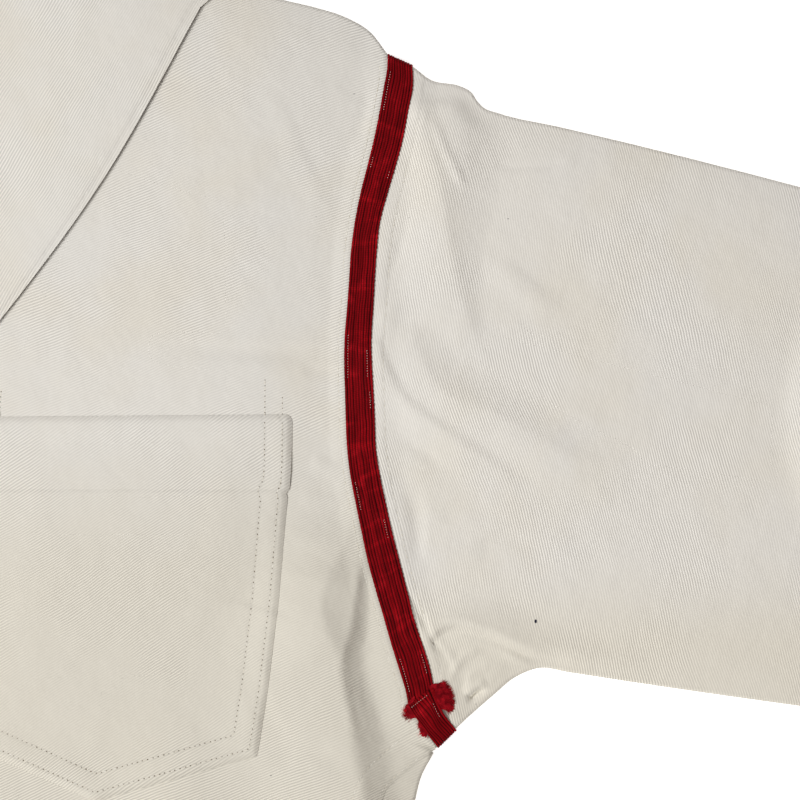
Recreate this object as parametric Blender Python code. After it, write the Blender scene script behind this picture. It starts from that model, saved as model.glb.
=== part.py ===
"""White sailor jumper laid flat on its back, front up, sleeves spread.

Sizes are in millimetres and the meshes are made in metres. X runs to the right as one looks down
on the front (the wearer's left), Y towards the neck and Z up from the surface that it lies on.
While the pieces are worked out, X = 0 is the centre front and Y = 0 the neck end of the shoulders.
"""

import math
from collections import namedtuple

import bmesh
import bpy
import numpy as np
from mathutils import Vector
from mathutils.bvhtree import BVHTree

METRE = 0.001

CLOTH = 1.0
SEAM_GAP = 0.3
LAID_GAP = 0.55
FOLD_RADIUS = 1.8
FLOOR_LEVEL = CLOTH / 2

NECK_HALF = 85.0
NECK_DROP = 236.0
BACK_NECK_DROP = 18.0
BODY_LENGTH = 660.0
HEM_RISE = 5.0
PUFF = 2.8
PUFF_REACH = 16.0
MOUTH_SAG = 1.5
MOUTH_REACH = 60.0
DEEPEST = -1.5

ROLL_DEPTH = 8.0
ROLL_TAIL = 8.0

COLLAR_HALF = 168.0
COLLAR_DEPTH = 245.0
COLLAR_GAP = 0.6
COLLAR_BRIDGE = 30.0
COLLAR_RAMP = 26.0

BRAID_WIDTH = 9.5
BRAID_THICK = 0.8
BRAID_RIB = 0.35
BRAID_RIBS = 7
BRAID_FROM_SEAM = 0.9
BRAID_GAP = 0.5
BRAID_START = 14.5
BRAID_END = 18.5
BRAID_STEPS = 17
BRAID_REACH = 0.07

POCKET_GAP = 1.0
POCKET_THICK = 1.0

FRAY_THICK = 0.6
FRAY_TIP = 0.3
FRAY_DEEP = 6.8

Point = namedtuple("Point", "x y")
Fold = namedtuple("Fold", "start bend end left right height")

SHOULDER = (
    Point(NECK_HALF, 0.0),
    Point(193.0, -40.5),
    Point(206.0, -43.5),
    Point(217.0, -46.8),
    Point(226.0, -51.5),
    Point(232.8, -60.8),
)
ARMHOLE = (
    Point(252.5, -331.4),
    Point(243.0, -315.0),
    Point(236.5, -295.5),
    Point(227.5, -265.0),
    Point(221.0, -235.0),
    Point(217.0, -200.0),
    Point(217.2, -164.0),
    Point(220.6, -128.0),
    Point(226.6, -101.0),
    Point(231.2, -80.0),
    Point(232.8, -60.8),
)
SLEEVE_TOP = (
    Point(232.8, -60.8),
    Point(243.0, -65.4),
    Point(251.0, -71.8),
    Point(262.0, -74.2),
    Point(268.5, -80.3),
    Point(276.0, -83.8),
    Point(301.0, -90.0),
    Point(540.0, -153.0),
    Point(781.0, -218.0),
)
SLEEVE_UNDER = (
    Point(252.5, -331.4),
    Point(260.0, -324.2),
    Point(268.0, -316.9),
    Point(275.5, -310.4),
    Point(282.7, -304.4),
    Point(294.0, -300.2),
    Point(304.0, -301.8),
    Point(520.0, -332.0),
    Point(741.0, -363.0),
)
SIDE = (
    Point(249.0, -BODY_LENGTH + HEM_RISE),
    Point(243.0, -520.0),
    Point(240.5, -420.0),
    Point(244.3, -352.0),
    Point(246.6, -343.0),
    Point(252.5, -331.4),
)
NECKLINE = (
    Point(0.0, -NECK_DROP),
    Point(38.0, -150.0),
    Point(69.0, -68.0),
    Point(NECK_HALF, 0.0),
)
COLLAR_EDGE = (
    Point(6.0, -NECK_DROP - 22.0),
    Point(62.0, -192.0),
    Point(124.0, -110.0),
    Point(COLLAR_HALF, -31.2),
)

# How far the side seam lies in from the side, and how much of the roll there is, below the armpit.
SeamRow = namedtuple("SeamRow", "below inset roll")
SIDE_SEAM = (
    SeamRow(0.0, 0.0, 0.0),
    SeamRow(5.0, 4.5, 0.35),
    SeamRow(10.0, 8.5, 0.7),
    SeamRow(18.0, 13.0, 1.0),
    SeamRow(330.0, 11.0, 1.0),
)

# Folds of the upper layer. left and right are the half widths on each side of the line that runs
# from start to end; a height below zero is a trough.
WEARERS_LEFT_FOLDS = (
    Fold(Point(207.0, -262.0), Point(207.0, -330.0), Point(228.0, -440.0), 9.0, 26.0, 8.5),
    Fold(Point(214.0, -250.0), Point(219.0, -300.0), Point(240.0, -360.0), 8.0, 8.0, -2.4),
    Fold(Point(208.0, -225.0), Point(201.0, -300.0), Point(196.0, -380.0), 9.0, 8.0, -1.0),
    Fold(Point(193.0, -79.0), Point(205.0, -98.0), Point(216.0, -128.0), 7.0, 9.0, -1.2),
    Fold(Point(150.0, -300.0), Point(160.0, -420.0), Point(150.0, -560.0), 36.0, 30.0, 3.4),
    Fold(Point(205.0, -430.0), Point(196.0, -520.0), Point(206.0, -640.0), 18.0, 22.0, 3.0),
    Fold(Point(60.0, -340.0), Point(48.0, -460.0), Point(64.0, -630.0), 34.0, 26.0, 2.8),
    Fold(Point(248.0, -69.0), Point(250.0, -115.0), Point(270.0, -176.0), 8.0, 7.0, -2.4),
    Fold(Point(261.0, -72.0), Point(265.0, -102.0), Point(270.0, -140.0), 8.0, 8.0, 3.4),
    Fold(Point(269.6, -80.0), Point(276.0, -120.0), Point(270.5, -176.0), 6.0, 6.0, -2.4),
    Fold(Point(288.0, -88.0), Point(290.0, -130.0), Point(284.0, -180.0), 24.0, 12.0, 2.6),
    Fold(Point(272.0, -176.0), Point(286.0, -196.0), Point(330.0, -218.0), 12.0, 8.0, 2.8),
    Fold(Point(245.0, -172.0), Point(264.0, -196.0), Point(318.0, -224.0), 9.0, 9.0, -2.2),
    Fold(Point(252.0, -284.0), Point(278.0, -283.0), Point(330.0, -303.0), 6.5, 8.0, 2.6),
    Fold(Point(247.0, -275.0), Point(278.0, -275.0), Point(330.0, -292.0), 7.0, 6.0, -1.8),
    Fold(Point(420.0, -140.0), Point(402.0, -200.0), Point(430.0, -290.0), 22.0, 16.0, 3.2),
    Fold(Point(520.0, -170.0), Point(500.0, -230.0), Point(470.0, -310.0), 20.0, 16.0, 3.6),
    Fold(Point(560.0, -180.0), Point(575.0, -240.0), Point(540.0, -320.0), 16.0, 20.0, 3.0),
    Fold(Point(660.0, -210.0), Point(640.0, -262.0), Point(660.0, -330.0), 24.0, 18.0, 2.6),
)
WEARERS_RIGHT_FOLDS = (
    Fold(Point(208.0, -258.0), Point(206.0, -335.0), Point(222.0, -430.0), 10.0, 28.0, 7.0),
    Fold(Point(214.0, -248.0), Point(220.0, -300.0), Point(238.0, -356.0), 8.0, 9.0, -2.2),
    Fold(Point(188.0, -84.0), Point(200.0, -110.0), Point(208.0, -150.0), 9.0, 10.0, -1.2),
    Fold(Point(120.0, -300.0), Point(110.0, -400.0), Point(128.0, -540.0), 34.0, 28.0, 3.2),
    Fold(Point(190.0, -440.0), Point(202.0, -530.0), Point(194.0, -640.0), 20.0, 20.0, 2.8),
    Fold(Point(50.0, -360.0), Point(66.0, -470.0), Point(52.0, -630.0), 26.0, 30.0, 2.4),
    Fold(Point(250.0, -72.0), Point(252.0, -120.0), Point(274.0, -186.0), 9.0, 8.0, -2.2),
    Fold(Point(266.0, -78.0), Point(272.0, -118.0), Point(292.0, -170.0), 12.0, 10.0, 3.6),
    Fold(Point(240.0, -180.0), Point(262.0, -206.0), Point(326.0, -232.0), 10.0, 9.0, -2.0),
    Fold(Point(268.0, -180.0), Point(290.0, -200.0), Point(340.0, -220.0), 12.0, 9.0, 2.8),
    Fold(Point(254.0, -286.0), Point(284.0, -284.0), Point(336.0, -300.0), 8.0, 8.0, 2.6),
    Fold(Point(440.0, -145.0), Point(424.0, -215.0), Point(446.0, -300.0), 20.0, 20.0, 3.2),
    Fold(Point(540.0, -172.0), Point(512.0, -236.0), Point(500.0, -318.0), 20.0, 16.0, 3.6),
    Fold(Point(640.0, -200.0), Point(650.0, -260.0), Point(626.0, -330.0), 22.0, 20.0, 2.8),
)

POCKET_RIGHT = (Point(183.2, -334.2), Point(189.5, -272.0), Point(196.1, -201.5))
POCKET_LEFT = (Point(62.0, -326.0), Point(68.0, -270.0), Point(73.0, -203.0))
POCKET_POINT = Point(120.0, -352.0)

# How far each lock of the frayed end stands out and how far it bends towards the shoulder, in turn.
FRAY_REACH = (4.2, 7.4, 5.6, 8.4, 4.8, 6.6, 9.0, 5.2, 7.8)
FRAY_BEND = (0.6, 1.2, -0.4, 0.9, 0.2, 1.4, 0.5)

# Shares of the way across half the body, from the centre to the side, and along the sleeve.
FRONT_LEFT_COLUMNS = (0.0, 0.1, 0.2, 0.3, 0.38, 0.5, 0.6, 0.69, 0.76, 0.82, 0.87, 0.915, 0.945, 0.974, 1.0)
FRONT_RIGHT_COLUMNS = (0.0, 0.1, 0.2, 0.3, 0.38, 0.5, 0.6, 0.76, 0.87, 0.945, 1.0)
NECK_SHARE = 0.38
BACK_COLUMNS = (0.0, 0.18, 0.38, 0.6, 0.76, 0.87, 0.945, 1.0)
SIDE_ROWS = (0.0, 0.12, 0.25, 0.38, 0.5, 0.61, 0.71, 0.8, 0.87, 0.925, 0.9615, 0.983, 1.0)
ARM_ROWS = 15
LEFT_STATIONS = (
    0.0, 0.02, 0.04, 0.06, 0.085, 0.11, 0.14, 0.18, 0.24, 0.32, 0.41, 0.5, 0.58, 0.68, 0.79, 0.9, 1.0,
)
RIGHT_STATIONS = (0.0, 0.03, 0.06, 0.1, 0.15, 0.23, 0.34, 0.46, 0.58, 0.72, 0.86, 1.0)


def smooth_path(points, per_span=10):
    """A dense polyline on a smooth curve through the points."""
    through = np.array(points, float)
    spans = np.linalg.norm(np.diff(through, axis=0), axis=1)
    speed = np.diff(through, axis=0) / spans[:, None]
    slope = np.empty_like(through)
    slope[0], slope[-1] = speed[0], speed[-1]
    before, after = spans[:-1, None], spans[1:, None]
    slope[1:-1] = (speed[:-1] * after + speed[1:] * before) / (before + after)
    line = []
    for i, span in enumerate(spans):
        t = np.linspace(0, 1, per_span, endpoint=False)[:, None]
        line.append(
            (2 * t**3 - 3 * t**2 + 1) * through[i]
            + (t**3 - 2 * t**2 + t) * span * slope[i]
            + (3 * t**2 - 2 * t**3) * through[i + 1]
            + (t**3 - t**2) * span * slope[i + 1]
        )
    return np.vstack(line + [through[-1:]])


def along(line, share):
    """Points at these shares of a polyline's length."""
    run = np.concatenate([[0], np.cumsum(np.linalg.norm(np.diff(line, axis=0), axis=1))])
    at = np.asarray(share, float) * run[-1]
    return np.stack([np.interp(at, run, line[:, k]) for k in range(line.shape[1])], axis=-1)


def nearest(line, xy):
    """For each point: its distance to the polyline, the share of the line there and its side, +1 to the left."""
    start, step = line[:-1], np.diff(line, axis=0)
    to = xy[..., None, :] - start
    share = np.clip((to * step).sum(-1) / (step * step).sum(-1), 0, 1)
    off = to - share[..., None] * step
    far = np.linalg.norm(off, axis=-1)
    best = far.argmin(-1)
    pick = best[..., None]
    run = np.concatenate([[0], np.cumsum(np.linalg.norm(step, axis=1))])
    part = np.take_along_axis(share, pick, -1)[..., 0]
    where = (run[best] + part * np.diff(run)[best]) / run[-1]
    cross = np.take_along_axis(step[:, 0] * to[..., 1] - step[:, 1] * to[..., 0], pick, -1)[..., 0]
    return np.take_along_axis(far, pick, -1)[..., 0], where, np.where(cross >= 0, 1, -1)


def ease(t):
    """0 to 1 with level ends."""
    t = np.clip(t, 0, 1)
    return t * t * (3 - 2 * t)


SHOULDER_LINE = smooth_path(SHOULDER)
ARMHOLE_LINE = smooth_path(ARMHOLE)
SLEEVE_TOP_LINE = smooth_path(SLEEVE_TOP)
SLEEVE_UNDER_LINE = smooth_path(SLEEVE_UNDER)
SIDE_LINE = smooth_path(SIDE)
NECK_LINE = smooth_path(NECKLINE)
CUFF_LINE = np.array([SLEEVE_UNDER[-1], SLEEVE_TOP[-1]])
HEM_LINE = np.array([Point(0.0, -BODY_LENGTH), SIDE[0]])
CLOSED_EDGES = [SHOULDER_LINE, SLEEVE_TOP_LINE, SLEEVE_UNDER_LINE, SIDE_LINE]
OPEN_EDGES = [CUFF_LINE, HEM_LINE]


def mirrored(xy):
    """The same places on the wearer's left half."""
    return np.stack([np.abs(xy[..., 0]), xy[..., 1]], axis=-1)


def fold_relief(xy, folds):
    """How far the folds raise the upper layer."""
    rise = np.zeros(xy.shape[:-1])
    for fold in folds:
        line = smooth_path((fold.start, fold.bend, fold.end), 6)
        far, where, side = nearest(line, xy)
        width = np.where(side > 0, fold.left, fold.right)
        across = np.clip(1 - (far / width) ** 2, 0, 1) ** 2
        rise += fold.height * across * ease(where / 0.3) * ease((1 - where) / 0.35)
    return rise


def upper_relief(xy):
    """How far the upper layer stands above its level at a folded edge."""
    half = mirrored(xy)
    edge = np.min([nearest(line, half)[0] for line in CLOSED_EDGES], axis=0)
    mouth = np.min([nearest(line, half)[0] for line in OPEN_EDGES], axis=0)
    neck = nearest(NECK_LINE, half)[0]
    inside = np.clip(edge - FOLD_RADIUS, 0, None)
    soft = 1 - np.exp(-inside / PUFF_REACH)
    puff = PUFF * soft * ease((mouth + 10) / MOUTH_REACH) * (0.35 + 0.65 * ease(neck / 60))
    sag = MOUTH_SAG * ease((edge - 6) / 40) * (1 - ease(mouth / MOUTH_REACH))
    left = fold_relief(half, WEARERS_LEFT_FOLDS)
    right = fold_relief(half, WEARERS_RIGHT_FOLDS)
    folds = np.where(xy[..., 0] >= 0, left, right)
    folds = folds * ease((edge - 1) / 9) * ease(mouth / 30) * ease(neck / 30)
    return np.maximum(puff - sag + folds, DEEPEST)


def braid_line(offset=0.0):
    """The line along the left armhole at this distance from the braid's middle, from armpit to shoulder."""
    away = BRAID_WIDTH / 2 + BRAID_FROM_SEAM + offset
    step = np.gradient(ARMHOLE_LINE, axis=0)
    step /= np.linalg.norm(step, axis=1)[:, None]
    return ARMHOLE_LINE + away * np.stack([step[:, 1], -step[:, 0]], axis=1)


BRAID_MIDDLE = braid_line()


def ground_lift(xy):
    """How far the layers ride up over the collar's back flap and the braid, which lie under them."""
    beyond = np.maximum(np.abs(xy[..., 0]) - COLLAR_HALF - 1, -COLLAR_DEPTH - 1 - xy[..., 1])
    flap = (CLOTH + COLLAR_GAP) * (1 - ease((beyond - COLLAR_BRIDGE) / COLLAR_RAMP))
    off = nearest(BRAID_MIDDLE, xy)[0] - BRAID_WIDTH / 2
    under = (CLOTH / 2 + BRAID_GAP + BRAID_RIB + BRAID_THICK - FLOOR_LEVEL) * (1 - ease((off - 1) / 10))
    return np.maximum(flap, under)


def height(xy, layer, lift=0.0):
    """Z of a sheet's middle. layer is 0 on the floor side and 1 on the upper side, and lift is how far
    outside the garment's own cloth it lies."""
    xy, layer = np.asarray(xy, float), np.asarray(layer, float)
    centre = ground_lift(xy) + FLOOR_LEVEL + FOLD_RADIUS
    return centre - (FOLD_RADIUS + lift) * (1 - 2 * layer) + layer * upper_relief(xy)


def placed(xy, layer, lift=0.0):
    """Points in space from places in plan."""
    xy = np.asarray(xy, float)
    layer = np.broadcast_to(np.asarray(layer, float), xy.shape[:-1])
    return np.concatenate([xy, height(xy, layer, lift)[..., None]], axis=-1)


def roll_over(amount, lift=0.0, tail=ROLL_TAIL, arc_steps=4):
    """(inward distance, layer travelled) of the points where a sheet comes to an edge and rolls over it.
    amount is 0 for a plain edge and 1 for a full turn with a tail on the far side."""
    radius = FOLD_RADIUS + lift
    angle = math.pi * amount
    start = radius * math.sin(min(angle, math.pi / 2))
    flat, arc = ROLL_DEPTH - start, radius * angle
    knots = [flat + arc * k / arc_steps for k in range(arc_steps + 1)] + [flat + arc + tail * amount]
    points = []
    for k, knot in enumerate(knots):
        even = knots[-1] * (k + 1) / len(knots)
        run = even + (knot - even) * amount
        if run <= flat:
            points.append((ROLL_DEPTH - run, 0.0))
        elif run <= flat + arc:
            turn = (run - flat) / radius
            points.append((start - radius * math.sin(turn), (1 - math.cos(turn)) / 2))
        else:
            rest = run - flat - arc
            rise = radius * (1 - math.cos(angle)) + rest * math.sin(angle)
            points.append((start - radius * math.sin(angle) - rest * math.cos(angle), rise / (2 * radius)))
    return points


def seam_row(below):
    """Inset and roll of the side seam at this distance below the armpit."""
    table = np.array(SIDE_SEAM)
    return (
        np.interp(below, table[:, 0], table[:, 1]),
        np.interp(below, table[:, 0], table[:, 2]),
    )


def armhole_x(y):
    """X of the armhole seam at this Y, in its upper part."""
    return np.interp(y, ARMHOLE_LINE[:, 1], ARMHOLE_LINE[:, 0])


def coons(low, high, left, right, across, up):
    """Places inside four edges: low and high run across, left and right run up."""
    u, v = across[None, :, None], up[:, None, None]
    low, high, left, right = low[None], high[None], left[:, None], right[:, None]
    corners = (1 - v) * ((1 - u) * low[:, :1] + u * low[:, -1:]) + v * ((1 - u) * high[:, :1] + u * high[:, -1:])
    return (1 - u) * left + u * right + (1 - v) * low + v * high - corners


def side_and_armhole():
    """Places up the body's edge from hem to shoulder, and each one's distance below the armpit."""
    side = along(SIDE_LINE, SIDE_ROWS)
    arm = along(ARMHOLE_LINE, np.linspace(0, 1, ARM_ROWS + 1))[1:]
    below = np.concatenate([SIDE[-1].y - side[:, 1], np.zeros(len(arm))])
    return np.vstack([side, arm]), np.clip(below, 0, None)


def rise_shares(edge):
    """Shares of the way up a body edge."""
    run = np.concatenate([[0], np.cumsum(np.linalg.norm(np.diff(edge, axis=0), axis=1))])
    return run / run[-1]


def front_half(columns):
    """Places and layers of half the front, rows from the hem up and over the shoulder."""
    u = np.array(columns)
    edge, below = side_and_armhole()
    inset = np.array([seam_row(b)[0] for b in below])
    right = edge - np.stack([inset + SEAM_GAP / 2, np.zeros(len(edge))], axis=1)
    v = rise_shares(edge)
    neck = along(NECK_LINE, u[u < NECK_SHARE] / NECK_SHARE)
    shoulder = along(SHOULDER_LINE, (u[u >= NECK_SHARE] - NECK_SHARE) / (1 - NECK_SHARE))
    top = np.vstack([neck, shoulder])
    top[-1, 0] = right[-1, 0]
    low = HEM_LINE[0] + u[:, None] * (right[0] - HEM_LINE[0])
    inner_top = top - np.array([0, ROLL_DEPTH])
    inner_top[-1, 0] = armhole_x(inner_top[-1, 1]) - SEAM_GAP / 2
    keep = right[:, 1] < inner_top[-1, 1] - 1
    right, v = right[keep], v[keep]
    right = np.vstack([right, inner_top[-1]])
    v = np.append(v, 1.0)
    v[:-1] *= (1 - ROLL_DEPTH / 600)
    left = np.stack([np.zeros(len(v)), HEM_LINE[0][1] + v * (inner_top[0, 1] - HEM_LINE[0][1])], axis=1)
    plan = coons(low, inner_top, left, right, u, v)
    layer = np.ones(plan.shape[:2])
    ramp = np.clip((u - NECK_SHARE) / 0.09, 0, 1)
    rolls = [roll_over(a) for a in ramp]
    for k in range(len(rolls[0])):
        d = np.array([roll[k][0] for roll in rolls])
        row = top - np.stack([0 * d, d], axis=1)
        row[-1, 0] = armhole_x(row[-1, 1]) - SEAM_GAP / 2
        plan = np.concatenate([plan, row[None]])
        layer = np.concatenate([layer, 1 - np.array([[roll[k][1] for roll in rolls]])])
    return plan, layer


def back_half():
    """Places and layers of half the back, columns from the centre out and over the side."""
    u = np.array(BACK_COLUMNS)
    edge, below = side_and_armhole()
    v = rise_shares(edge)
    edge = edge.copy()
    drop = FOLD_RADIUS + ROLL_TAIL + 2 * SEAM_GAP
    keep = edge[:, 1] < edge[-1, 1] - drop - 1
    last = np.array([armhole_x(edge[-1, 1] - drop), edge[-1, 1] - drop])
    edge, below, v = np.vstack([edge[keep], last]), np.append(below[keep], 0.0), np.append(v[keep], 1.0)
    edge[:, 0] -= np.where(below > 0, 0, SEAM_GAP / 2)
    inner = edge - np.array([ROLL_DEPTH, 0])
    share = (u - NECK_SHARE) / (1 - NECK_SHARE)
    shoulder = along(SHOULDER_LINE, share[share >= 0]) - np.array([0, drop])
    neck_corner = shoulder[0]
    t = u[share < 0] / NECK_SHARE
    neck = np.stack(
        [neck_corner[0] * t, -BACK_NECK_DROP + (neck_corner[1] + BACK_NECK_DROP) * ease(t)], axis=1
    )
    top = np.vstack([neck, shoulder])
    top[-1] = inner[-1]
    low = HEM_LINE[0] + u[:, None] * (inner[0] - HEM_LINE[0])
    left = np.stack([np.zeros(len(v)), HEM_LINE[0][1] + v * (top[0, 1] - HEM_LINE[0][1])], axis=1)
    plan = coons(low, top, left, inner, u, v)
    layer = np.zeros(plan.shape[:2])
    rows = [seam_row(b) for b in below]
    rolls = [roll_over(roll, tail=max(inset - SEAM_GAP / 2 - FOLD_RADIUS, 0.5)) for inset, roll in rows]
    for k in range(len(rolls[0])):
        d = np.array([roll[k][0] for roll in rolls])
        plan = np.concatenate([plan, (edge - np.stack([d, 0 * d], axis=1))[:, None]], axis=1)
        layer = np.concatenate([layer, np.array([[roll[k][1]] for roll in rolls])], axis=1)
    return plan, layer


def whole(left_half, right_half):
    """Both halves as one sheet, from the wearer's right to the wearer's left."""
    plan_left, layer_left = left_half
    plan_right, layer_right = right_half
    other = plan_right[:, :0:-1] * np.array([-1, 1])
    return (
        np.concatenate([other, plan_left], axis=1),
        np.concatenate([layer_right[:, :0:-1], layer_left], axis=1),
    )


def sleeve_rings(stations):
    """Places and layers of the left sleeve, a closed ring for each station from armhole to cuff."""
    s = np.array(stations)
    arm_share = np.linspace(0, 1, ARM_ROWS + 1)
    apart = np.array([SEAM_GAP, 0])
    under = along(SLEEVE_UNDER_LINE, s) + (1 - s)[:, None] * apart
    top = along(SLEEVE_TOP_LINE, s) + (1 - s)[:, None] * apart
    dense = np.linspace(0, 1, 121)
    dense_arm = along(ARMHOLE_LINE, dense) + apart
    grid = coons(under, top, dense_arm, along(CUFF_LINE, dense), s, dense)
    turn = np.radians([90, 45, 0, -45, -90])
    plan, layer = [], []
    for i in range(len(s)):
        chord = grid[:, i]
        long = np.linalg.norm(np.diff(chord, axis=0), axis=1).sum()
        rim = FOLD_RADIUS / long
        inside = np.clip(arm_share[1:-1], rim * 1.6, 1 - rim * 1.6)
        end = rim * (1 - np.cos(turn))
        share = np.concatenate([inside, 1 - end, inside[::-1], end])
        plan.append(along(chord, share))
        layer.append(
            np.concatenate(
                [np.ones(len(inside)), (1 + np.sin(turn)) / 2, np.zeros(len(inside)), (1 - np.sin(turn)) / 2]
            )
        )
    return np.array(plan), np.array(layer)


def normals_of(points, around):
    """Unit normals of a grid of points; around closes its columns into rings."""
    if around:
        wide = np.concatenate([points[:, -1:], points, points[:, :1]], axis=1)
        across = wide[:, 2:] - wide[:, :-2]
    else:
        across = np.gradient(points, axis=1)
    up = np.gradient(points, axis=0)
    normal = np.cross(across, up)
    return normal / np.linalg.norm(normal, axis=-1)[..., None]


def wall_object(name, points, material, around=False, thick=CLOTH, raised=None):
    """A closed wall round a grid of middle points, its outer points raised where raised says so."""
    normal = normals_of(points, around)
    extra = 0 if raised is None else raised[..., None]
    outer = points + normal * (thick / 2 + extra)
    inner = points - normal * (thick / 2)
    rows, columns = points.shape[:2]
    model = bmesh.new()
    top, bottom = (
        [[model.verts.new(point) for point in row] for row in (skin * METRE).tolist()] for skin in (outer, inner)
    )
    last = columns if around else columns - 1
    for i in range(rows - 1):
        for j in range(last):
            k = (j + 1) % columns
            model.faces.new((top[i][j], top[i][k], top[i + 1][k], top[i + 1][j]))
            model.faces.new((bottom[i][j], bottom[i + 1][j], bottom[i + 1][k], bottom[i][k]))
    for j in range(last):
        k = (j + 1) % columns
        model.faces.new((top[0][k], top[0][j], bottom[0][j], bottom[0][k]))
        model.faces.new((top[-1][j], top[-1][k], bottom[-1][k], bottom[-1][j]))
    if not around:
        for i in range(rows - 1):
            model.faces.new((top[i][0], top[i + 1][0], bottom[i + 1][0], bottom[i][0]))
            model.faces.new((top[i + 1][-1], top[i][-1], bottom[i][-1], bottom[i + 1][-1]))
    return object_from(name, model, material)


def object_from(name, model, material):
    """A scene object from a bmesh, its faces pointing out."""
    bmesh.ops.recalc_face_normals(model, faces=model.faces)
    bmesh.ops.triangulate(model, faces=model.faces)
    mesh = bpy.data.meshes.new(name)
    model.to_mesh(mesh)
    model.free()
    mesh.shade_smooth()
    mesh.set_sharp_from_angle(angle=math.radians(50))
    mesh.materials.append(material)
    thing = bpy.data.objects.new(name, mesh)
    bpy.context.scene.collection.objects.link(thing)
    return thing


def finish(name, colour, roughness):
    """A plain cloth material."""
    material = bpy.data.materials.new(name)
    material.use_nodes = True
    shader = material.node_tree.nodes["Principled BSDF"]
    shader.inputs["Base Color"].default_value = (*colour, 1)
    shader.inputs["Roughness"].default_value = roughness
    shader.inputs["Metallic"].default_value = 0
    return material


def front_and_back(cotton):
    """The front, which rolls over the shoulders, and the back, which rolls round the sides."""
    plan, layer = whole(front_half(FRONT_LEFT_COLUMNS), front_half(FRONT_RIGHT_COLUMNS))
    front = wall_object("front", placed(plan, layer), cotton)
    plan, layer = whole(back_half(), back_half())
    wall_object("back", placed(plan, layer), cotton)
    return front


def sleeves(cotton):
    """Both sleeves as flattened tubes, open at the armhole and the cuff."""
    for name, side, stations in (("sleeve_left", 1, LEFT_STATIONS), ("sleeve_right", -1, RIGHT_STATIONS)):
        plan, layer = sleeve_rings(stations)
        plan = plan * np.array([side, 1])
        wall_object(name, placed(plan, layer), cotton, around=True)


def collar(cotton, front):
    """The sailor collar: lapels on the front, over the shoulders and down as a square flap behind."""
    lift = CLOTH + COLLAR_GAP
    shares = np.array([0.0, 0.25, 0.5, 0.75, 1.0])
    fronts = np.array([0.0, 0.08, 0.18, 0.3, 0.42, 0.54, 0.66, 0.76, 0.85, 0.93, 1.0])
    shoulder_out = np.interp(COLLAR_HALF, SHOULDER_LINE[:, 0], SHOULDER_LINE[:, 1])
    ridge = np.stack([np.linspace(NECK_HALF - 2, COLLAR_HALF, 5), np.linspace(0.8, shoulder_out, 5)], axis=1)
    inner_line, outer_line = smooth_path(NECKLINE), smooth_path(COLLAR_EDGE)
    inner_line = inner_line - np.array([2.0, 0.0]) * ease(np.linspace(0, 3, len(inner_line)))[:, None]
    inner, outer = along(inner_line, fronts), along(outer_line, fronts)
    inner[0] += (0.6, -4.0)
    rows = [a + shares[:, None] * (b - a) for a, b in zip(inner[:-1], outer[:-1])]
    rows = [row for row in rows if row[:, 1].max() < -12]
    layers = [np.ones(5)] * len(rows)
    rolled = roll_over(1.0, lift, tail=10.0)
    for d, travelled in rolled:
        rows.append(ridge + np.array([0, lift - d]))
        layers.append(np.full(5, 1 - travelled))
    back_rows = 8
    below = ridge + np.array([0, lift - rolled[-1][0]])
    for k in range(1, back_rows + 1):
        t = k / back_rows
        neck_x = NECK_HALF * (1 - t)
        start = np.array([neck_x, -BACK_NECK_DROP + 3 + (below[0, 1] + BACK_NECK_DROP - 3) * (1 - t) ** 2])
        if k <= back_rows // 2:
            end = np.array([COLLAR_HALF, below[-1, 1] + (-COLLAR_DEPTH - below[-1, 1]) * 2 * t])
        else:
            end = np.array([COLLAR_HALF * 2 * (1 - t), -COLLAR_DEPTH])
        rows.append(start + shares[:, None] * (end - start))
        layers.append(np.zeros(5))
    plan, layer = np.array(rows), np.array(layers)
    other = plan[-2::-1] * np.array([-1, 1])
    plan, layer = np.concatenate([plan, other]), np.concatenate([layer, layer[-2::-1]])
    points = placed(plan, layer, lift)
    level = resting_on(front, plan) + COLLAR_GAP + CLOTH / 2
    points[..., 2] = np.where(layer == 1, np.maximum(points[..., 2], level), points[..., 2])
    wall_object("collar", points, cotton)


def sleeve_line(distance):
    """The plan line on the left sleeve at this distance from the armhole seam, from armpit to shoulder."""
    s = np.linspace(0, BRAID_REACH, 29)
    w = np.linspace(0, 1, 121)
    grid = coons(
        along(SLEEVE_UNDER_LINE, s), along(SLEEVE_TOP_LINE, s), along(ARMHOLE_LINE, w), along(CUFF_LINE, w), s, w
    )
    away = nearest(ARMHOLE_LINE, grid)[0]
    line = []
    for j in range(len(w)):
        at = np.interp(distance, away[j], s)
        line.append([np.interp(at, s, grid[j, :, k]) for k in range(2)])
    return np.array(line)


def beyond_end(line, run):
    """Points at these distances along a polyline, carried straight on past either end."""
    length = np.linalg.norm(np.diff(line, axis=0), axis=1).sum()
    run = np.asarray(run, float)
    inside = along(line, np.clip(run / length, 0, 1))
    first = (line[0] - line[2]) / np.linalg.norm(line[0] - line[2])
    last = (line[-1] - line[-3]) / np.linalg.norm(line[-1] - line[-3])
    return inside + np.clip(-run, 0, None)[:, None] * first + np.clip(run - length, 0, None)[:, None] * last


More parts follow.
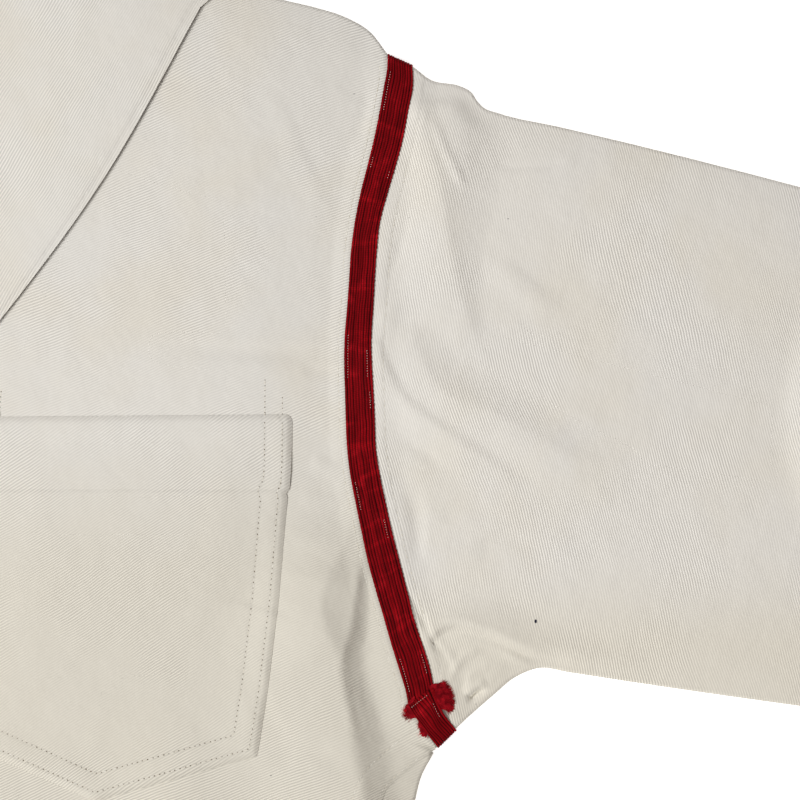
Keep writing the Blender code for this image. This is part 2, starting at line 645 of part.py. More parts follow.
def braid_run(line, lift, top_lift):
    """Places, layers and lifts of one lengthwise line of the braid, from its raw end up the front, over
    the shoulder, down the back and round the armpit to its turned end, which lies on the raw one."""
    length = np.linalg.norm(np.diff(line, axis=0), axis=1).sum()
    turns = np.radians([70, 35, 0, -35, -70])
    up = BRAID_START + (length - FOLD_RADIUS - BRAID_START) * np.linspace(0, 1, BRAID_STEPS)
    down = (length - FOLD_RADIUS) + (2 * FOLD_RADIUS - length) * np.linspace(0, 1, BRAID_STEPS)
    over = length - FOLD_RADIUS + (FOLD_RADIUS + lift) * np.cos(turns)
    under = FOLD_RADIUS - (FOLD_RADIUS + lift) * np.cos(turns)
    end = np.array([FOLD_RADIUS + 1.0, 5.0, 7.5, 10.0, 12.5, 15.5, BRAID_END])
    run = np.concatenate([up, over, down, under, end])
    layer = np.concatenate(
        [
            np.ones(len(up)),
            (1 + np.sin(turns)) / 2,
            np.zeros(len(down)),
            (1 - np.sin(turns)) / 2,
            np.ones(len(end)),
        ]
    )
    lifts = np.full(len(run), lift)
    lifts[-len(end):] += (top_lift - lift) * ease((end - 2.5) / 5)
    return beyond_end(line, run), layer, lifts


def shoulder_braid(red):
    """The branch braid, one ribbed strip round the left armhole."""
    columns = 2 * BRAID_RIBS + 1
    lift = CLOTH / 2 + BRAID_GAP + BRAID_THICK / 2
    top_lift = lift + BRAID_THICK + BRAID_RIB + SEAM_GAP
    runs = [
        braid_run(sleeve_line(BRAID_FROM_SEAM + BRAID_WIDTH * k / (columns - 1)), lift, top_lift)
        for k in range(columns)
    ]
    points = np.stack([placed_lifted(*run) for run in runs], axis=1)
    raised = np.zeros(points.shape[:2])
    raised[:, 1::2] = BRAID_RIB
    wall_object("shoulder_braid", points, red, thick=BRAID_THICK, raised=raised)


def placed_lifted(xy, layer, lift):
    """Points in space where each one has its own lift."""
    centre = ground_lift(xy) + FLOOR_LEVEL + FOLD_RADIUS
    z = centre - (FOLD_RADIUS + lift) * (1 - 2 * layer) + layer * upper_relief(xy)
    return np.column_stack([xy, z])


def resting_on(thing, plan):
    """Z of the top of a piece under each place in plan, or 0 beside it."""
    mesh = thing.data
    tree = BVHTree.FromPolygons([v.co for v in mesh.vertices], [p.vertices for p in mesh.polygons])
    level = np.empty(plan.shape[:-1])
    for where in np.ndindex(level.shape):
        x, y = plan[where] * METRE
        hit = tree.ray_cast(Vector((x, y, 1.0)), Vector((0, 0, -1)))[0]
        level[where] = hit.z / METRE if hit else 0.0
    return level


def chest_pocket(cotton, front):
    """The patch pocket on the wearer's left breast, with a shallow point at the bottom."""
    across = np.array([0.0, 0.14, 0.28, 0.42, 0.56, 0.69, 0.78, 0.86, 0.93, 1.0])
    up = np.array([0.0, 0.06, 0.13, 0.22, 0.36, 0.52, 0.68, 0.84, 1.0])
    right = along(np.array(POCKET_RIGHT), up)
    left = along(np.array(POCKET_LEFT), up)
    top = along(np.array([POCKET_LEFT[-1], POCKET_RIGHT[-1]]), across)
    low = along(np.array([POCKET_LEFT[0], POCKET_POINT, POCKET_RIGHT[0]]), across)
    plan = coons(low, top, left, right, across, up)
    level = resting_on(front, plan) + POCKET_GAP + POCKET_THICK / 2
    wall_object("chest_pocket", np.concatenate([plan, level[..., None]], axis=-1), cotton, thick=POCKET_THICK)


def frayed_end(red):
    """The raw end of the braid: a thin backing under the turned end, its sides drawn out into locks."""
    middle = sleeve_line(BRAID_FROM_SEAM + BRAID_WIDTH / 2)
    tip, base = beyond_end(middle, [BRAID_START - 1.6, BRAID_START - FRAY_DEEP])
    along_way = (tip - base) / np.linalg.norm(tip - base)
    side_way = np.array([along_way[1], -along_way[0]])
    half = BRAID_WIDTH / 2 - 0.6
    corners = [base - half * side_way, tip - half * side_way, tip + half * side_way, base + half * side_way]
    ring, roots = [], []
    for a, b, count in zip(corners, corners[1:] + corners[:1], (14, 1, 14, 1)):
        roots += [count > 1] * count
        ring += [a + (b - a) * k / count for k in range(count)]
    ring = np.array(ring)
    heart = (tip + base) / 2
    level = placed(ring, 1, CLOTH / 2 + BRAID_GAP)[:, 2]
    model = bmesh.new()
    low = [model.verts.new((x * METRE, y * METRE, z * METRE)) for (x, y), z in zip(ring, level)]
    high = [model.verts.new((x * METRE, y * METRE, (z + FRAY_THICK) * METRE)) for (x, y), z in zip(ring, level)]
    model.faces.new(low)
    model.faces.new(high)
    for k in range(len(ring)):
        m = (k + 1) % len(ring)
        face = [low[k], low[m], high[m], high[k]]
        if not roots[k]:
            model.faces.new(face)
            continue
        root = (ring[k] + ring[m]) / 2
        way = (root - heart) / np.linalg.norm(root - heart)
        sideways = abs(float(way @ side_way))
        reach = FRAY_REACH[k % len(FRAY_REACH)] * (0.55 + 0.45 * sideways)
        bend = FRAY_BEND[k % len(FRAY_BEND)]
        for step, slim in ((0.45, 0.8), (0.8, 0.6), (1.0, FRAY_TIP)):
            centre = root + way * reach * step + along_way * bend * step * step
            half_wide = (ring[m] - ring[k]) / 2 * slim
            ends = [centre - half_wide, centre + half_wide]
            base_z = placed(np.array(ends), 1, CLOTH / 2 + BRAID_GAP)[:, 2]
            thick = FRAY_THICK * slim
            new = [
                model.verts.new((ends[0][0] * METRE, ends[0][1] * METRE, base_z[0] * METRE)),
                model.verts.new((ends[1][0] * METRE, ends[1][1] * METRE, base_z[1] * METRE)),
                model.verts.new((ends[1][0] * METRE, ends[1][1] * METRE, (base_z[1] + thick) * METRE)),
                model.verts.new((ends[0][0] * METRE, ends[0][1] * METRE, (base_z[0] + thick) * METRE)),
            ]
            for c in range(4):
                d = (c + 1) % 4
                model.faces.new((face[c], face[d], new[d], new[c]))
            face = new
        model.faces.new(face)
    object_from("braid_frayed_end", model, red)


def hold_together():
    """Parents the pieces to one empty, placed so that the whole lies on Z = 0, its middle at X = Y = 0."""
    pieces = list(bpy.data.objects)
    points = np.array([vertex.co for piece in pieces for vertex in piece.data.vertices])
    low, high = points.min(axis=0), points.max(axis=0)
    holder = bpy.data.objects.new("jumper", None)
    bpy.context.scene.collection.objects.link(holder)
    holder.location = (-(low[0] + high[0]) / 2, -(low[1] + high[1]) / 2, -low[2])
    for piece in pieces:
        piece.parent = holder


def main():
    """Clears the scene and builds the jumper."""
    for thing in list(bpy.data.objects):
        bpy.data.objects.remove(thing)
    cotton = finish("white_cotton_drill", (0.80, 0.775, 0.71), 0.85)
    front = front_and_back(cotton)
    sleeves(cotton)
    collar(cotton, front)
    chest_pocket(cotton, front)
    red = finish("dark_red_braid", (0.18, 0.008, 0.011), 0.7)
    shoulder_braid(red)
    frayed_end(red)
    hold_together()


main()
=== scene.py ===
"""A white sailor jumper laid flat, with a dark red braid round the left armhole.

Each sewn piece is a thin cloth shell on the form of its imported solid. Lines and reliefs are worked out
in millimetres on the garment's pattern: X = 0 is the centre front, Y = 0 the neck end of the shoulders,
Z = 0 the table. Pattern.to_frame moves them into the shared frame in metres.
"""

import logging
import math
import random
from collections.abc import Iterator
from contextlib import contextmanager
from dataclasses import dataclass, field
from enum import Enum

import bmesh
import bpy
import numpy as np
from bmesh.types import BMesh
from bpy.types import Material
from bpy.types import NodeSocket as Socket
from bpy.types import Object as Thing
from mathutils import Matrix, Vector, noise


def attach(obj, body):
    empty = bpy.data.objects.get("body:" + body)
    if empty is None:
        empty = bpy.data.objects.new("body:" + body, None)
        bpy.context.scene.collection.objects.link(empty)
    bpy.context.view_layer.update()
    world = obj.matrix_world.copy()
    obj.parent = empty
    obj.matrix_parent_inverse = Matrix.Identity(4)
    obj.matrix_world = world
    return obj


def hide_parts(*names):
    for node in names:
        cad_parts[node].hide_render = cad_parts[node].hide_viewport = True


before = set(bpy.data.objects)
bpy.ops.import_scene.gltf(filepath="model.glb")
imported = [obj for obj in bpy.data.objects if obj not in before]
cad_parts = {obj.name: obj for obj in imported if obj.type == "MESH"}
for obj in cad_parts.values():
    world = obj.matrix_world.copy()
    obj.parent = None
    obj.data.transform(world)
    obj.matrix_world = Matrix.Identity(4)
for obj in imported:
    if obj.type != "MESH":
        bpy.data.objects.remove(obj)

LOG = logging.getLogger("jumper")
METRE = 0.001
Colour = tuple[float, float, float, float]


class Facing(Enum):
    """Which way a grid's own normals point, seen from the cloth."""

    OUT = 1
    IN = -1


class Shape(Enum):
    """A fold's section on each side of its line."""

    ROUND = "round"
    SHARP = "sharp"
    DROP = "drop"
    CLIFF = "cliff"


class Twill(Enum):
    """The way that the wales of the twill run on a piece, in degrees from its cross grain."""

    BODY = 23.0
    SLEEVE = 121.0
    POCKET = 33.0
    COLLAR = 60.0


@dataclass(frozen=True)
class Fold:
    """A fold or trough of the upper layer along a bent line.

    Args:
        line: Points of the line, in pattern millimetres.
        left: Half width on the left of the line's direction, or one for each point.
        right: Half width on the right.
        height: Height of the fold, or one for each point, below zero for a trough.
        shape: Its section; a drop or a cliff falls away on the left, steepest at its foot or at
            its crest, and its right side is round.
        fade: Shares of the line over which the fold rises and dies away.
    """

    line: tuple[tuple[float, float], ...]
    left: float | tuple[float, ...]
    right: float | tuple[float, ...]
    height: float | tuple[float, ...]
    shape: Shape = Shape.ROUND
    fade: tuple[float, float] = (0.3, 0.35)

    def section(self, far: np.ndarray, where: np.ndarray, side: np.ndarray) -> np.ndarray:
        """The fold's rise.

        Args:
            far: Distances from its line.
            where: Shares of its length.
            side: +1 on its left, -1 on its right.

        Returns:
            The rise at each place.
        """
        values = [np.atleast_1d(value) for value in (self.left, self.right, self.height)]
        *widths, height = [np.interp(where, np.linspace(0, 1, len(v)), v) for v in values]
        t = np.clip(far / np.where(side > 0, *widths), 0, 1)
        soft = (1 - t * t) ** 2
        if self.shape is Shape.SHARP:
            soft = (1 - t) ** 2
        elif self.shape is Shape.DROP:
            soft = np.where(side > 0, 1 - t * t, soft)
        elif self.shape is Shape.CLIFF:
            soft = np.where(side > 0, (1 - t) ** 1.5, soft)
        start, end = self.fade
        return height * soft * ease(where / start) * ease((1 - where) / end)


def smooth_path(points: tuple, per_span: int = 10) -> np.ndarray:
    """Draws a smooth curve through points.

    Args:
        points: The points, as rows of coordinates.
        per_span: Steps between two points.

    Returns:
        A dense polyline.
    """
    through = np.array(points, float)
    steps = np.diff(through, axis=0)
    spans = np.linalg.norm(steps, axis=1)
    speed = steps / spans[:, None]
    slope = np.empty_like(through)
    slope[0], slope[-1] = speed[0], speed[-1]
    before, after = spans[:-1, None], spans[1:, None]
    slope[1:-1] = (speed[:-1] * after + speed[1:] * before) / (before + after)
    t = np.linspace(0, 1, per_span, endpoint=False)[:, None]
    line = [
        (2 * t**3 - 3 * t**2 + 1) * through[i]
        + (t**3 - 2 * t**2 + t) * span * slope[i]
        + (3 * t**2 - 2 * t**3) * through[i + 1]
        + (t**3 - t**2) * span * slope[i + 1]
        for i, span in enumerate(spans)
    ]
    return np.vstack(line + [through[-1:]])


def walked(line: np.ndarray) -> np.ndarray:
    """The distance along a polyline at each of its points."""
    return np.concatenate([[0], np.cumsum(np.linalg.norm(np.diff(line, axis=0), axis=1))])


def length_of(line: np.ndarray) -> float:
    """The length of a polyline."""
    return float(np.linalg.norm(np.diff(line, axis=0), axis=1).sum())


def along(line: np.ndarray, share: np.ndarray) -> np.ndarray:
    """Finds places on a polyline.

    Args:
        line: The polyline.
        share: Shares of its length.

    Returns:
        The points at those shares.
    """
    run = walked(line)
    at = np.asarray(share, float) * run[-1]
    return np.stack([np.interp(at, run, line[:, k]) for k in range(line.shape[1])], axis=-1)


def past_ends(line: np.ndarray, run: np.ndarray) -> np.ndarray:
    """Finds places on a polyline carried straight on past its ends.

    Args:
        line: The polyline.
        run: Distances from its start, below zero or past its length too.

    Returns:
        The points there.
    """
    whole = length_of(line)
    run = np.asarray(run, float)
    first = (line[0] - line[2]) / np.linalg.norm(line[0] - line[2])
    last = (line[-1] - line[-3]) / np.linalg.norm(line[-1] - line[-3])
    inside = along(line, np.clip(run / whole, 0, 1))
    return inside + np.clip(-run, 0, None)[:, None] * first + np.clip(run - whole, 0, None)[:, None] * last


def offset_line(line: np.ndarray, distance: float) -> np.ndarray:
    """A line beside another one.

    Args:
        line: The polyline.
        distance: How far to the right of its direction, below zero for the left.

    Returns:
        The line there.
    """
    step = np.gradient(line, axis=0)
    step /= np.linalg.norm(step, axis=1)[:, None]
    return line + distance * pairs(step[:, 1], -step[:, 0])


def nearest(line: np.ndarray, xy: np.ndarray) -> tuple[np.ndarray, np.ndarray, np.ndarray]:
    """Measures places against a polyline.

    Args:
        line: The polyline.
        xy: The places, in an array whose last axis is X, Y.

    Returns:
        Distances, shares of the line's length at the nearest points, and sides, +1 on the left.
    """
    start, step = line[:-1], np.diff(line, axis=0)
    size = (step * step).sum(-1)
    run = np.concatenate([[0], np.cumsum(np.sqrt(size))])
    flat = xy.reshape(-1, 2)
    far, where, side = (np.empty(len(flat)) for _ in range(3))
    for first in range(0, len(flat), 4096):
        part = slice(first, first + 4096)
        to = flat[part, None, :] - start
        share = np.clip((to * step).sum(-1) / size, 0, 1)
        gap = np.linalg.norm(to - share[..., None] * step, axis=-1)
        best = gap.argmin(-1)
        row = np.arange(len(best))
        far[part] = gap[row, best]
        where[part] = (run[best] + share[row, best] * (run[best + 1] - run[best])) / run[-1]
        cross = step[best, 0] * to[row, best, 1] - step[best, 1] * to[row, best, 0]
        side[part] = np.where(cross >= 0, 1, -1)
    shape = xy.shape[:-1]
    return far.reshape(shape), where.reshape(shape), side.reshape(shape)


def pairs(x: np.ndarray, y: np.ndarray) -> np.ndarray:
    """Two coordinates as points."""
    return np.stack([x, y], axis=-1)


def ease(t: np.ndarray) -> np.ndarray:
    """0 to 1 with level ends."""
    t = np.clip(t, 0, 1)
    return t * t * (3 - 2 * t)


def coons(
    low: np.ndarray, high: np.ndarray, left: np.ndarray, right: np.ndarray, across: np.ndarray, up: np.ndarray
) -> np.ndarray:
    """Fills four edges with a smooth grid.

    Args:
        low: Points of the low edge, one for each value of across.
        high: Points of the high edge.
        left: Points of the left edge, one for each value of up.
        right: Points of the right edge.
        across: Shares of the way across.
        up: Shares of the way up.

    Returns:
        Grid points, rows going up.
    """
    u, v = across[None, :, None], up[:, None, None]
    low, high, left, right = low[None], high[None], left[:, None], right[:, None]
    low_corners = (1 - u) * low[:, :1] + u * low[:, -1:]
    high_corners = (1 - u) * high[:, :1] + u * high[:, -1:]
    return (1 - u) * left + u * right + (1 - v) * low + v * high - (1 - v) * low_corners - v * high_corners


def bands(*parts: tuple[float, float, int]) -> np.ndarray:
    """Shares of a way, denser where more steps are given.

    Args:
        parts: Start, end and number of steps of each part.

    Returns:
        All the shares in order.
    """
    pieces = [np.linspace(a, b, n, endpoint=False) for a, b, n in parts]
    return np.append(np.concatenate(pieces), parts[-1][1])


@dataclass
class Pattern:
    """The garment's outline and seams on its left half, in millimetres; the right half mirrors them.

    Args:
        cloth: Thickness that the solids give the cloth.
        radius: Radius of the middle of the cloth at a folded edge.
        roll: How far in from an edge its turn is laid out.
        tail: How far the front comes down behind the shoulder.
        neck_half: Half the neck's width at the shoulders.
        neck_drop: Depth of the V.
        back_drop: Depth of the neck behind.
        length: From the shoulders' neck end down to the hem.
        hem_half: Half the hem's width.
        hem_rise: How much higher the hem is at its ends.
        collar_half: Half the width of the collar's flap.
        collar_depth: How far the flap comes down.
        collar_gap: Space between the collar and the cloth under it.
        neck_share: Share of a row of the body that lies at the neck.
        shift_y: What brings pattern Y into the shared frame.
        braid_width: Width that the cloth over the braid and the braid's own grain reckon with.
        braid_lift: How far the cloth over the braid rides up.
    """

    cloth: float = 1.0
    radius: float = 1.3
    roll: float = 8.0
    tail: float = 8.0
    neck_half: float = 85.0
    neck_drop: float = 236.0
    back_drop: float = 18.0
    length: float = 660.0
    hem_half: float = 249.0
    hem_rise: float = 5.0
    collar_half: float = 168.0
    collar_depth: float = 245.0
    collar_gap: float = 0.6
    neck_share: float = 0.38
    shift_y: float = 328.589
    braid_width: float = 10.4
    braid_lift: float = 0.8
    shoulder: np.ndarray = field(init=False)
    armhole: np.ndarray = field(init=False)
    sleeve_top: np.ndarray = field(init=False)
    sleeve_under: np.ndarray = field(init=False)
    side: np.ndarray = field(init=False)
    neck: np.ndarray = field(init=False)
    cuff: np.ndarray = field(init=False)
    hem: np.ndarray = field(init=False)

    def __post_init__(self) -> None:
        """Draws the lines."""
        half, hem_end = self.neck_half, (self.hem_half, self.hem_rise - self.length)
        self.shoulder = smooth_path(
            ((half, 0.0), (193.0, -40.5), (206.0, -43.5), (217.0, -47.0), (226.4, -52.4), (233.7, -61.7))
        )
        self.armhole = smooth_path((
            (252.9, -331.4), (246.5, -322.0), (242.5, -315.0), (241.1, -308.5), (239.1, -301.9),
            (235.7, -291.0), (232.6, -280.1), (229.4, -269.2), (226.4, -258.3), (224.1, -247.4),
            (221.9, -236.5), (219.8, -225.6), (218.5, -214.7), (218.0, -203.8), (217.7, -192.9),
            (217.4, -182.1), (217.6, -171.2), (218.5, -160.3), (219.3, -149.4), (220.0, -138.5),
            (221.4, -127.6), (223.5, -116.7), (226.2, -105.8), (228.9, -94.9), (231.1, -84.0),
            (233.3, -72.0), (233.7, -61.7),
        ))
        self.sleeve_top = smooth_path((
            (233.7, -61.7), (243.0, -66.1), (251.0, -71.8), (262.0, -74.0), (266.2, -76.2), (268.8, -80.0),
            (271.5, -82.6), (277.0, -84.6), (301.0, -90.0), (540.0, -153.0), (781.0, -218.0),
        ))
        self.sleeve_under = smooth_path((
            (252.9, -331.4), (260.0, -324.2), (268.0, -316.9), (275.5, -310.4), (282.7, -304.4),
            (294.0, -300.2), (304.0, -301.8), (520.0, -332.0), (741.0, -363.0),
        ))
        self.side = smooth_path((
            hem_end, (243.0, -520.0), (240.5, -420.0), (244.3, -352.0), (246.6, -343.0),
            (252.9, -331.4),
        ))
        self.neck = smooth_path(((0.0, -self.neck_drop), (38.0, -150.0), (69.0, -68.0), (half, 0.0)))
        self.cuff = np.array([(741.0, -363.0), (781.0, -218.0)])
        self.hem = np.array([(0.0, -self.length), hem_end])

    def to_frame(self, points: np.ndarray) -> np.ndarray:
        """Pattern millimetres to the shared frame's metres."""
        return (points + np.array([0.0, self.shift_y, 0.0])) * METRE

    def armhole_x(self, y: np.ndarray) -> np.ndarray:
        """X of the armhole seam at this Y, in its upper part."""
        return np.interp(y, self.armhole[:, 1], self.armhole[:, 0])

    def seam_row(self, below: np.ndarray) -> tuple[np.ndarray, np.ndarray]:
        """Where the side seam lies.

        Args:
            below: Distances below the armpit.

        Returns:
            How far in from the side the seam is, and how much of the roll there is.
        """
        at = (0.0, 4.0, 8.2, 16.4, 24.0, 330.0)
        return np.interp(below, at, (0.0, 3.3, 6.4, 12.7, 13.6, 11.0)), ease(below / 2.4)

    def side_seam(self) -> np.ndarray:
        """The side seam where it shows on the front, from the hem up to the armpit."""
        below = self.side[-1, 1] - self.side[:, 1]
        inset = self.seam_row(below)[0]
        return self.side - pairs(inset, 0 * inset)

    def lift(self, xy: np.ndarray) -> np.ndarray:
        """How far the layers ride up over the collar's flap and the braid, which lie under them."""
        beyond = np.maximum(np.abs(xy[..., 0]) - self.collar_half - 1, -self.collar_depth - 1 - xy[..., 1])
        flap = (self.cloth + self.collar_gap) * (1 - ease((beyond - 2.0) / 56.0))
        middle = offset_line(self.armhole, self.braid_width / 2)
        off = nearest(middle, xy)[0] - self.braid_width / 2
        return np.maximum(flap, self.braid_lift * (1 - ease((off - 1) / 10)))


